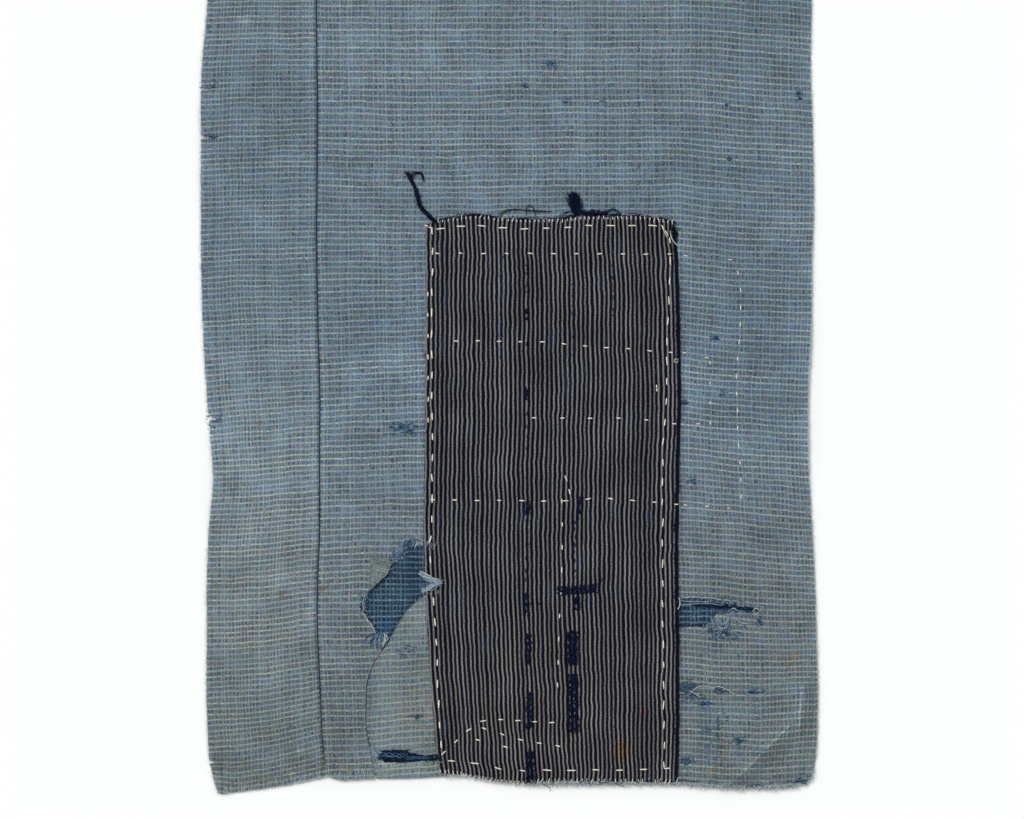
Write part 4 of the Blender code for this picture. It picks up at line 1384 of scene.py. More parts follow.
# How far up the weft lies, in millimetres, at places across (the first row) for heights up the cloth (the
# first number of each further row). Washing and wear have pulled it out of level.
SIDE_LIFT = (
    (4, 22, 45, 63, 84), (0, 3.0, 0, 3.5, 7.5, 12.5), (37, -1.8, 0, 2.2, 6.0, 12.0),
    (65, -1.0, 0, 1.7, 5.0, 9.5), (92, -0.8, 0, 1.5, 4.0, 7.5), (148, 0.0, 0, 1.5, 4.0, 7.0),
    (217, -1.0, 0, 1.3, 2.7, 4.4), (251, -2.0, 0, 1.6, 3.4, 5.0), (320, -1.5, 0, 1.0, 1.2, 1.4),
    (420, -1.4, 0, 0.4, 1.0, 1.4), (527, -0.8, 0, 0.6, 0.6, 0.6), (640, -0.5, 0, 0.3, 0.3, 0.3)
)
MAIN_LIFT = (
    (80, 110, 155, 240, 330, 360, 384, 425), (0, 0, 0.8, 0.8, 0.5, 0, -2.2, -2.6, -0.6),
    (37, 0, 1.2, 1.6, 1.0, 0, -2.2, -3.0, -1.0), (65, 0, 1.0, 1.0, 0.6, 0, -1.8, -2.6, 0.4),
    (92, 0, 0.0, 1.0, 0.6, 0, -2.4, -3.0, -3.0), (120, 0, 0.0, 0.6, 0.4, 0, -1.8, -4.4, -5.0),
    (148, 0, 1.6, 1.8, 1.0, 0, -1.6, -4.6, -7.0), (182, 0, 2.0, 2.0, 1.2, 0, -1.8, -4.4, -8.2),
    (217, 0, 1.2, 2.4, 1.6, 0, -3.2, -5.2, -8.0), (286, 0, 1.6, 4.0, 2.6, 0, -3.4, -4.8, -6.6),
    (330, 0, 1.2, 2.8, 1.5, 0, -3.6, -4.6, -6.2), (389, 0, 0.0, -0.6, 0.0, 0, -3.8, -5.2, -5.8),
    (424, 0, -0.9, -1.8, -0.9, 0, -3.2, -5.0, -7.0), (458, 0, -0.6, -1.6, 0.0, 0, -2.4, -4.4, -7.0),
    (527, 0, 0.0, 0.0, 0.0, 0, -1.2, -3.2, -6.6), (640, 0, 0.0, 0.0, 0.0, 0, -0.8, -2.0, -4.0)
)


def lifted(places, table):
    """How far up the weft lies at each place, by a table."""
    columns, rows = table[0], table[1:]
    across, up = places.T
    level = np.interp(up, [row[0] for row in rows], range(len(rows)))
    low = np.minimum(level.astype(int), len(rows) - 2)
    share = ease(level - low)
    each = np.array([np.interp(across, columns, row[1:]) for row in rows])
    at = np.arange(len(places))
    return each[low, at] * (1.0 - share) + each[low + 1, at] * share


def side_weave(places):
    """Distance from the seam along the weft, and up the warp."""
    across, up = places.T
    left, seam = side_values(up, "left"), side_values(up, "seam")
    return np.stack([(across - left) / (seam - left) * 78.0, up - lifted(places, SIDE_LIFT)], axis=1)


def main_weave(places):
    """Distance from the seam along the weft, and up the warp."""
    across, up = places.T
    seam, right = side_values(up, "seam"), side_values(up, "right")
    return np.stack([(across - seam) / (right - seam) * 340.0, up - lifted(places, MAIN_LIFT)], axis=1)


def patch_weave(places):
    """Distance from the patch's left edge along the weft, so that the stripes follow both its edges."""
    across, up = places.T
    ring = np.array(PATCH_OUTLINE)
    left, right = ring[:9], ring[17:26][::-1]
    start, end = np.interp(up, left[:, 1], left[:, 0]), np.interp(up, right[:, 1], right[:, 0])
    return np.stack([(across - start) / (end - start) * 174.0, up], axis=1)


def repair_weave(places):
    """The repair's own weave, which rises to the right."""
    across, up = places.T
    return np.stack([across, up - 0.07 * (across - 115.0) - 1.5 * ease((up - 80.0) / 60.0)], axis=1)


def slanted_weave(places):
    """The weave of the scrap that is folded back, which lies askew."""
    turn = math.radians(14)
    return places @ np.array([[math.cos(turn), -math.sin(turn)], [math.sin(turn), math.cos(turn)]]).T


def plain_weave(places):
    """A weave that lies square."""
    return places + (0.0, 1.2)


# ---------------------------------------------------------------- operators


def finished(made, material, slot, *nodes):
    """Gives a piece its material and its place in the frame, and hides the parts of the solid model that it
    stands for. The slot is not used.
    """
    if material.name not in made.data.materials:
        made.data.materials.append(material)
    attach(made, "root")
    if nodes:
        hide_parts(*nodes)
    return made


def panel_look(settings, **changes):
    """The panels' check, with what differs in one of them."""
    look = Check(
        ground=tuple(settings.ground), shade="#34475a", tint=0.75, cloud=0.45,
        weft_cream=tuple(settings.line), weft_blue="#93a3aa", warp="#879aa4",
        weft_pitch=settings.weft_pitch / MM, weft_width=1.05, weft_share=0.95,
        warp_pitch=settings.warp_pitch / MM, warp_width=0.9, warp_share=0.72, bump=0.5, seed=3.0
    )
    return look._replace(**changes)


class BORO_OT_side_panel(bpy.types.Operator):
    """Makes the narrow left panel, with its selvedge, nicks and hem"""

    bl_idname = "boro.side_panel"
    bl_label = "Side panel"

    def execute(self, context):
        settings = context.scene.boro_check
        ring = ragged(spaced(side_ring(), 1.6, closed=True), 0.22, 31)
        made, places = sheet_object(
            "side_panel_cloth", [ring], 2.6, panel_height, side_weave, 1,
            lines=[np.array(SIDE_HEM[3:]) + (-1.0, HEM_BAND)]
        )
        painted(made, "Wash", washed(places, TINTS, 71))
        painted(made, "Worn", worn(places))
        look = panel_look(
            settings, weft_pitch=3.72, warp_pitch=2.42, warp_share=0.8, weft_share=0.9, seed=211.0
        )
        finished(
            made, check_cotton("Washed check cotton, side panel", look), "washed_check_cotton", "side_panel"
        )
        return {"FINISHED"}


class BORO_OT_main_panel(bpy.types.Operator):
    """Makes the wide panel, torn open left and right of the patch"""

    bl_idname = "boro.main_panel"
    bl_label = "Main panel"

    def execute(self, context):
        settings = context.scene.boro_check
        outer = ragged(spaced(main_ring(), 1.6, closed=True), 0.2, 32)
        hole = ragged(spaced(np.array(RIGHT_TEAR), 1.2, closed=True), 0.5, 33)[::-1]
        made, places = sheet_object(
            "main_panel_cloth", [outer, hole], 3.0, panel_height, main_weave, 2,
            lines=[*CREASES, np.array(MAIN_HEM_RIGHT[-7:-1]) + (0.0, HEM_BAND)]
        )
        painted(made, "Wash", washed(places, TINTS, 72))
        painted(made, "Worn", worn(places))
        look = panel_look(settings)
        finished(
            made, check_cotton("Washed check cotton, main panel", look), "washed_check_cotton", "main_panel"
        )
        return {"FINISHED"}


class BORO_OT_pale_repair(bpy.types.Operator):
    """Makes the pale check repair that fills the torn corner"""

    bl_idname = "boro.pale_repair"
    bl_label = "Pale repair"

    def execute(self, context):
        settings = context.scene.boro_check
        outer = ragged(spaced(repair_ring(), 1.3, closed=True), 0.12, 34)
        slit = ragged(spaced(np.array(LOW_SLIT), 1.1, closed=True), 0.35, 35)[::-1]
        made, places = sheet_object("pale_check_cloth", [outer, slit], 2.4, panel_height, repair_weave, 3)
        painted(made, "Wash", washed(places, REPAIR_TINTS, 73, base=(0.97, 0.975, 0.93)))
        painted(made, "Worn", worn(places))
        look = panel_look(
            settings, ground=linear("#68747a"), shade="#475663", weft_cream=linear("#a2a69d"),
            weft_blue="#969f9e", warp="#8a9595", cloud=0.25, warp_pitch=2.9, warp_share=0.65, seed=77.0
        )
        finished(
            made, check_cotton("Faded tan check cotton", look), "pale_check_cotton", "pale_check_patch"
        )
        return {"FINISHED"}


class BORO_OT_striped_patch(bpy.types.Operator):
    """Makes the dark striped patch on top"""

    bl_idname = "boro.striped_patch"
    bl_label = "Striped patch"

    def execute(self, context):
        settings = context.scene.boro_patch
        ring = ragged(spaced(patch_ring(), 1.5, closed=True), 0.25, 36)
        made, places = sheet_object("striped_patch_cloth", [ring], 1.9, patch_height, patch_weave, 4)
        painted(made, "Wash", washed(places, PATCH_TINTS, 74, base=(1.0, 1.0, 1.0)))
        weave = patch_weave(places)
        edge = 171.3 + 0.4 * crumpled(places, 9, 12.0)
        painted(made, "Border", ease((weave[:, 0] - edge) / 1.4 + 0.5))
        finished(
            made, striped_cotton("Indigo and tan striped cotton", settings), "striped_cotton",
            "striped_patch"
        )
        return {"FINISHED"}


class BORO_OT_indigo_backing(bpy.types.Operator):
    """Makes the backing that shows through the tears"""

    bl_idname = "boro.indigo_backing"
    bl_label = "Indigo backing"

    def execute(self, context):
        settings = context.scene.boro_check
        ring = spaced(np.array(BACKING), 4.0, closed=True)
        made, places = sheet_object("indigo_backing_cloth", [ring], 3.4, backing_height, plain_weave, 5)
        # Painted shade: the backing is darkened just inside the tears, where the cloth above shades it, and
        # darker still round the low slit
        shade = np.ones(len(places))
        for edge in (torn_corner_ring(), np.array(RIGHT_TEAR), curve_through(REPAIR_TOP)):
            shade = np.minimum(shade, 1.0 - 0.5 * ease(1.0 - away_from(edge, places) / 3.4))
        shade = np.where(away_from(np.array(LOW_SLIT), places) < 7.0, 0.25, shade)
        painted(made, "Wash", washed(places, BACKING_TINTS, 75, base=(0.81, 0.78, 0.78)) * shade[:, None])
        painted(made, "Worn", np.zeros(len(places)))
        look = panel_look(
            settings, ground=linear("#213c56"), shade="#0e2238", weft_cream=linear("#8299a0"),
            weft_blue="#6f8891", warp="#587893", weft_pitch=3.75, warp_pitch=2.6, warp_share=1.0,
            weft_width=1.1, warp_width=1.15, tint=0.35, cloud=0.3, seed=140.0
        )
        finished(
            made, check_cotton("Strong indigo check cotton", look), "indigo_check_cotton", "indigo_backing"
        )
        return {"FINISHED"}


class BORO_OT_stitches(bpy.types.Operator):
    """Sews the rows of cream running stitches and the whip stitches round the patch"""

    bl_idname = "boro.stitches"
    bl_label = "Stitches"

    def execute(self, context):
        settings = context.scene.boro_threads
        thread = cream_thread()
        thick = settings.diameter / MM

        def over_patch(places):
            return patch_height(places) + thick * 0.1

        def over_panel(places):
            return panel_height(places) + thick * 0.1

        def at_foot(places):
            return patch_height(places) - 0.1

        for name, rows, height, share in (
            ("running_stitches", (*PATCH_ROWS, LEFT_COLUMN), over_patch, 1.0),
            ("panel_stitches", PANEL_ROWS, over_panel, 0.8)
        ):
            meshes = [
                row_stitches(
                    row.line, height, thread, row.pitch, row.stitch,
                    thick * share * (1.2 if row is LEFT_COLUMN else 1.0), rise=thick * 0.75,
                    stray=settings.unevenness, seed=number * 3 + 1
                )
                for number, row in enumerate(rows)
            ]
            finished(joined(name, meshes, thread), thread, "sewing_thread")

        # Slanted whip stitches hold the bottom edge, and short ticks the top edge
        whips = [
            row_stitches(
                line, place, thread, pitch, long, thick * 0.56, turn, thick * 0.6, stray, 50 + number * 10
            )
            for number, (line, place, pitch, long, turn, stray) in enumerate(
                (
                    ([(165.5, 16.6), (179.5, 15.4)], at_foot, 2.8, 3.4, 112, 0.3),
                    ([(181.0, 14.3), (202.2, 10.2), (222.0, 8.6)], at_foot, 2.75, 3.8, 62, 0.4),
                    ([(225.0, 9.8), (236, 10.8), (296, 10.4), (328, 9.8)], at_foot, 3.7, 3.4, 74, 0.6),
                    (
                        [(161.0, 394.0), (174, 395.9), (189, 397.7), (214.6, 395.2)], patch_height, 3.1,
                        3.0, 80, 0.5
                    ),
                    (
                        [(217.6, 395), (247.7, 395), (262.2, 397), (304, 397), (325, 393.8)], patch_height,
                        3.1, 2.8, 97, 0.4
                    )
                )
            )
        ]
        finished(joined("whip_stitches", whips, thread), thread, "sewing_thread")
        return {"FINISHED"}


class BORO_OT_fringes(bpy.types.Operator):
    """Frays the selvedges, the hems and the torn edges, and lays a dark strand of painted shade in the seam
    and strands of painted shadow and highlight at the repair's edge
    """

    bl_idname = "boro.fringes"
    bl_label = "Frayed edges"

    def execute(self, context):
        outer = curve_through([(s.right, s.up) for s in SECTIONS])
        hem = curve_through(MAIN_HEM_RIGHT)
        side_hem = curve_through(SIDE_HEM)
        foot = np.vstack([side_hem[9:], MAIN_HEM_LEFT, REPAIR_FOOT])
        low_patch = [
            (165, 14.6), (178.7, 13.4), (202.2, 8.8), (220.1, 7.4), (236, 8.8), (296, 8.4), (328, 8.4)
        ]
        tear, right_tear = np.array(LEFT_TEAR), np.array(RIGHT_TEAR)
        slit = np.array(LOW_SLIT)
        pale = thread_cotton("Frayed washed cotton", linear("#c3ced1"), 0.1, 0.6)
        blue = thread_cotton("Frayed indigo cotton", linear("#2c4d70"), 0.1, 0.4)
        night = thread_cotton("Strong indigo cotton ends", linear("#14273f"), 0.1, 0.4)

        def just_over(places):
            return top_height(places) + 0.05

        # For each group its material, and for each row its line, spacing, length, thickness, turn and stray
        groups = (
            (
                "pale_fringe", pale,
                (
                    (left_edge() - (0.2, 0.0), 0.5, 2.0, 0.17, 90, 0.8),
                    (outer + (0.1, 0.0), 0.5, 2.0, 0.17, 90, 0.8), (side_hem, 0.6, 1.7, 0.17, 90, 0.8),
                    (np.array(MAIN_HEM_LEFT), 0.6, 1.7, 0.17, 90, 0.8),
                    (hem - (0.0, 0.2), 0.4, 3.0, 0.18, 78, 0.9),
                    (hem + (0.0, 1.2), 1.1, 3.6, 0.24, 12, 0.9),
                    (foot + (0.0, 3.0), 2.3, 3.4, 0.34, 90, 0.8), (tear[2:8], 0.7, 1.8, 0.2, 78, 0.9),
                    (tear[8:-1], 0.5, 3.4, 0.22, 96, 0.9),
                    (curve_through(REPAIR_TOP)[4:-2], 1.0, 1.8, 0.2, 80, 0.9),
                    (right_tear[1:5], 0.9, 2.6, 0.22, 80, 0.9),
                    (right_tear[6:-1] + (0.0, 0.7), 1.0, 3.0, 0.22, 60, 0.9),
                    (slit[:5] + (0.0, -0.6), 1.0, 3.0, 0.24, 6, 0.9), (slit[5:], 1.4, 2.0, 0.22, 70, 0.9)
                )
            ),
            (
                "blue_fringe", blue,
                (
                    (left_edge() + (0.4, 0.0), 4.0, 1.8, 0.2, 80, 0.9), (hem, 1.3, 2.8, 0.22, 70, 0.9),
                    (hem + (0.0, 3.6), 8.5, 3.4, 0.5, 4, 0.9),
                    (hem[30:] + (-0.6, 2.2), 5.5, 2.4, 0.6, 10, 0.9),
                    (tear[2:8] + (0.5, -0.5), 0.8, 2.4, 0.22, 60, 0.9),
                    (tear[8:-1] + (0.6, -0.8), 0.5, 3.6, 0.24, 100, 0.9),
                    (right_tear[1:5], 0.8, 2.8, 0.24, 70, 0.9), (right_tear[6:-1], 0.6, 3.4, 0.26, 85, 0.9),
                    (slit[:5], 0.8, 2.2, 0.26, 70, 0.9), (slit[5:], 0.7, 3.0, 0.3, 40, 0.9)
                )
            ),
            (
                "indigo_fringe", night,
                (
                    (foot + (0.0, 4.4), 4.6, 1.5, 0.45, 80, 0.9),
                    (tear[2:9] + (0.9, -0.9), 0.9, 2.8, 0.3, 70, 0.9),
                    (right_tear[6:-1] + (0.0, -1.0), 0.6, 3.2, 0.3, 80, 0.9),
                    (right_tear[1:4] + (0.0, 0.4), 0.9, 2.2, 0.26, 70, 0.9),
                    (slit[:5] + (0.0, 1.2), 0.6, 2.8, 0.34, 30, 0.9),
                    (slit[5:] + (0.0, -1.2), 0.6, 3.0, 0.36, 25, 0.9)
                )
            ),
            ("cream_fringe", cream_thread(), ((low_patch, 1.5, 2.0, 0.2, 90, 0.9),))
        )
        for name, material, rows in groups:
            meshes = [
                row_stitches(
                    line, just_over, material, pitch, long, thick, turn, stray=stray, seed=number * 5 + 2,
                    steps=3, sides=3
                )
                for number, (line, pitch, long, thick, turn, stray) in enumerate(rows)
            ]
            slot = "sewing_thread" if name == "cream_fringe" else "washed_check_cotton"
            finished(joined(name, meshes, material), material, slot)

        # A dark strand lies in the groove between the panels, painted shade along the seam; under the
        # repair's edge a dark strand is painted shadow, and a pale one beside it a painted highlight
        draw = np.random.RandomState(4)
        strands = []
        for line, radius, shift, deep, code in (
            (seam_edge(0)[1:-1], 0.4, -0.1, -0.12, "#1c2c45"),
            (curve_through(REPAIR_LEFT)[2:], 0.3, -0.1, 0.0, "#25343f"),
            (curve_through(REPAIR_LEFT)[3:], 0.2, -1.0, 0.05, "#8d9a9a")
        ):
            line = spaced(line, 2.0) + (shift, 0.0)
            line = line + np.stack([draw.normal(0.0, 0.07, len(line)), np.zeros(len(line))], axis=1)
            height = lying_height(line) + THICK + deep + draw.uniform(-0.12, 0.12, len(line))
            strands.append(Strand(np.column_stack([line, height]), radius, linear(code)))
        finished(strands_object("seam_thread", strands), indigo_thread(), "indigo_thread")
        return {"FINISHED"}


class BORO_OT_darns(bpy.types.Operator):
    """Works the dark indigo darns over the striped patch"""

    bl_idname = "boro.darns"
    bl_label = "Darns"

    def execute(self, context):
        draw = np.random.RandomState(8)
        strands = []
        for darn in DARNS:
            start, end = np.array(darn.start, float), np.array(darn.end, float)
            reach = np.hypot(*(end - start))
            run = (end - start) / reach
            side = np.array([-run[1], run[0]])
            colour = linear(darn.colour)
            sparse = darn.threads < 4
            for thread in range(darn.threads):
                # Each thread shows as dashes, where it has come up between the stripes
                off = (thread + draw.uniform(0.2, 0.8)) / darn.threads - 0.5
                along = draw.uniform(-0.6, 1.6)
                while along < reach:
                    longest = 3.2 if sparse else 6.5
                    stop = min(along + draw.uniform(1.4, longest), reach + draw.uniform(-0.6, 1.2))
                    if stop - along > 0.9:
                        wander = draw.normal(0.0, 0.34, 4)
                        marks = np.linspace(along, stop, 4)
                        points = [
                            start + run * m + side * (off * darn.width + w) for m, w in zip(marks, wander)
                        ]
                        radius = draw.uniform(0.26, 0.42)
                        path = laid(points, radius, lift=draw.uniform(-0.1, 0.3), hump=0.2, step=0.9)
                        path[0, 2] -= 0.5
                        path[-1, 2] -= 0.5
                        strands.append(Strand(path, radius, colour))
                    along = stop + (draw.uniform(2.0, 8.0) if sparse else draw.uniform(0.5, 2.4))
            # A few ends stray to the sides
            for _ in range(darn.threads // 3):
                place = start + run * draw.uniform(0.0, reach) + side * draw.uniform(-0.5, 0.5) * darn.width
                far = place + side * draw.uniform(-3.4, 3.4) + run * draw.uniform(-1.6, 1.6)
                points = [place, (place + far) / 2 + draw.normal(0, 0.5, 2), far]
                strands.append(Strand(laid(points, 0.24, lift=0.1, hump=0.3, step=0.8), 0.24, colour))
        made = strands_object("indigo_darns", strands)
        finished(made, indigo_thread(), "indigo_thread")
        return {"FINISHED"}


def curl(centre, radius, turns, start, squeeze=1.0, steps=14):
    """Places round a loose curl."""
    found = []
    for i in range(steps + 1):
        angle = start + 2.0 * math.pi * turns * i / steps
        reach = radius * (1.0 - 0.25 * i / steps)
        found.append((centre[0] + reach * math.cos(angle), centre[1] + squeeze * reach * math.sin(angle)))
    return found


def straying(draw):
    """Gives a function that moves a place in the plan by a random stray."""

    def near(place, spread):
        return np.array(place) + draw.normal(0.0, spread, 2)

    return near


class BORO_OT_tufts(bpy.types.Operator):
    """Makes the loose indigo thread ends along the patch's top edge"""

    bl_idname = "boro.tufts"
    bl_label = "Indigo tufts"

    def execute(self, context):
        draw = np.random.RandomState(12)
        dark, mid = tuple(context.scene.boro_threads.indigo), linear("#182748")
        strands = []

        near = straying(draw)

        def thread(points, radius=0.32, lift=0.1, hump=0.0, colour=dark, spread=0.0):
            points = np.asarray(points, float)
            points = points + draw.normal(0.0, spread, points.shape) if spread else points
            strands.append(Strand(laid(points, radius, lift, hump), radius, colour))

        # The long twisted tail from the patch's top left corner
        tail = laid(
            [
                (162.4, 393.8), (159.0, 397.2), (155.4, 400.6), (151.8, 404.6), (150.4, 408.0),
                (149.6, 412.0), (147.4, 418.8), (144.0, 425.2), (142.4, 428.4)
            ],
            0.8, lift=0.4, hump=0.9, step=0.8
        )
        for ply in plied(tail, 0.8, 2, 6.5, 1):
            strands.append(Strand(ply, 0.6, dark))
        for ply in plied(tail, 1.15, 4, 9.0, 2):
            strands.append(Strand(ply, 0.26, mid))
        for ply in plied(tail[: len(tail) * 2 // 3], 1.3, 3, 8.0, 5):
            strands.append(Strand(ply, 0.4, dark))
        for spread in range(7):
            thread(
                [
                    (144.4, 422.4), (146.4, 426.4 + spread * 0.3), (149.6, 428.8), (152.6, 427.8),
                    (154.4, 424.2 - spread * 0.4)
                ],
                radius=0.22, lift=0.5, hump=0.8, spread=0.4
            )
        for _ in range(8):
            thread([(146.6, 420.4), (144.0, 425.2), (142.2, 429.0)], radius=0.26, lift=0.5, spread=0.7)
        for _ in range(70):
            place = tail[draw.randint(len(tail)), :2] + draw.normal(0.0, 0.8, 2)
            far = near(place, 1.7)
            thread([place, near((place + far) / 2, 0.5), far], radius=0.13, lift=0.3)

        # The thread that is laid along the top edge, in short uneven lengths
        rim = curve_through(
            [
                (160, 394.8), (174, 397.4), (189, 399.4), (200, 398.2), (214.6, 396.8), (247.7, 397.0),
                (262.2, 399.0), (284, 399.1), (304.3, 398.8), (318, 396.6), (327, 393.8), (329, 388)
            ],
            steps=8
        )
        for _ in range(90):
            start = draw.randint(len(rim) - 7)
            piece = rim[start : start + draw.randint(3, 7)]
            piece = piece + (0.0, draw.normal(0.0, 0.45))
            thread(
                piece, radius=draw.uniform(0.16, 0.34), lift=0.0, spread=0.28,
                colour=dark if draw.rand() < 0.8 else mid
            )
        for _ in range(150):
            place = rim[draw.randint(len(rim))] + draw.normal(0.0, 0.5, 2)
            far = place + (draw.normal(0.0, 1.6), draw.uniform(-0.4, 1.9))
            thread([place, near((place + far) / 2, 0.4), far], radius=0.13, lift=0.1)

        # Loops over the edge
        thread(
            [(207, 398), (209.1, 400.9), (216, 403.3), (224.3, 402.6), (231.2, 402), (242.2, 401.6)],
            hump=0.8
        )
        thread([(206, 398.6), (208.4, 401.9), (213, 403.2), (219, 402.2)], hump=0.6, radius=0.26)
        thread(
            [(224.8, 399), (224.3, 403.2), (226.4, 405.8), (229.4, 404.0), (230.4, 400.4), (231.4, 398)],
            hump=1.0
        )
        thread(
            [(279, 398.8), (280.9, 401.3), (283.8, 402.9), (288.2, 401.4), (290, 399)], hump=1.0,
            radius=0.36
        )
        thread([(278, 399), (280.2, 402.1), (284.8, 403.6), (288.8, 400.6)], hump=0.8, radius=0.26)

        # The thick tuft, with its fluff to the right and a fan of fine hairs to the left
        for number in range(110):
            reach = draw.uniform(0.55, 1.0)
            side = draw.normal(0.0, 0.5)
            base = np.array([258.8 + side * 1.6, 399.8 + draw.uniform(-0.6, 1.0)])
            middle = near((258.2 + side * 4.2, 399.6 + 8.6 * reach), 0.35)
            tip = near((255.8 + side * 3.0, 399.6 + 16.0 * reach), 0.6)
            thread(
                [base, middle, tip], radius=0.24 if number % 3 else 0.14, lift=draw.uniform(0.0, 1.4),
                hump=0.8, colour=mid if number % 4 == 0 else dark
            )
        for _ in range(60):
            place = np.array([257.2, draw.uniform(404.0, 414.0)]) + draw.normal(0.0, (1.8, 0.8))
            far = near(place, 1.6)
            thread([place, far], radius=0.12, lift=0.5)
        for _ in range(120):
            base = np.array([draw.uniform(259, 279), 399.0])
            far = base + (draw.uniform(-4.5, 4.5), draw.uniform(0.6, 4.4))
            top = (base + far) / 2 + (0.0, draw.uniform(0.4, 1.6))
            thread(
                [base, top, far], radius=0.16, lift=draw.uniform(0.0, 0.8), hump=0.5, spread=0.3,
                colour=mid if draw.rand() < 0.3 else dark
            )
        for fan in range(9):
            foot = np.array([244.6 + fan * 1.1, 396.9])
            thread(
                [foot, foot + (5.0, 3.6 + fan * 0.1), (257.0, 402.4 + fan * 0.15)], radius=0.11, lift=0.2,
                spread=0.25
            )
        # Fine ends at the right corner and along the foot
        for _ in range(14):
            base = np.array([draw.uniform(322, 328.5), draw.uniform(386, 396)])
            far = base + (draw.uniform(-1.5, 4.0), draw.uniform(-6.0, 2.0))
            thread([base, near((base + far) / 2, 0.6), far], radius=0.24, lift=0.2)
        for points in (
            [(233.9, 10.0), (236.5, 6.9), (240.6, 4.6), (240.9, 1.9)],
            [(266.8, 10.4), (268.2, 8.2), (268.8, 5.2)],
            [(283.6, 10.6), (286.3, 7.4), (291.5, 5.4), (292.5, 5.0)],
            [(328.4, 11.5), (334.0, 9.6), (344.3, 8.6)]
        ):
            thread(points, radius=0.22, lift=0.1)
        for _ in range(40):
            base = np.array([draw.uniform(228, 329), 9.4])
            far = base + (draw.uniform(-3.5, 3.5), draw.uniform(-2.6, -0.4))
            thread(
                [base, (base + far) / 2 + (0.0, draw.uniform(-0.6, 0.6)), far], radius=0.2, lift=0.0,
                colour=mid
            )
        made = strands_object("indigo_tufts", strands, sides=4)
        finished(made, indigo_thread(), "indigo_thread")
        return {"FINISHED"}


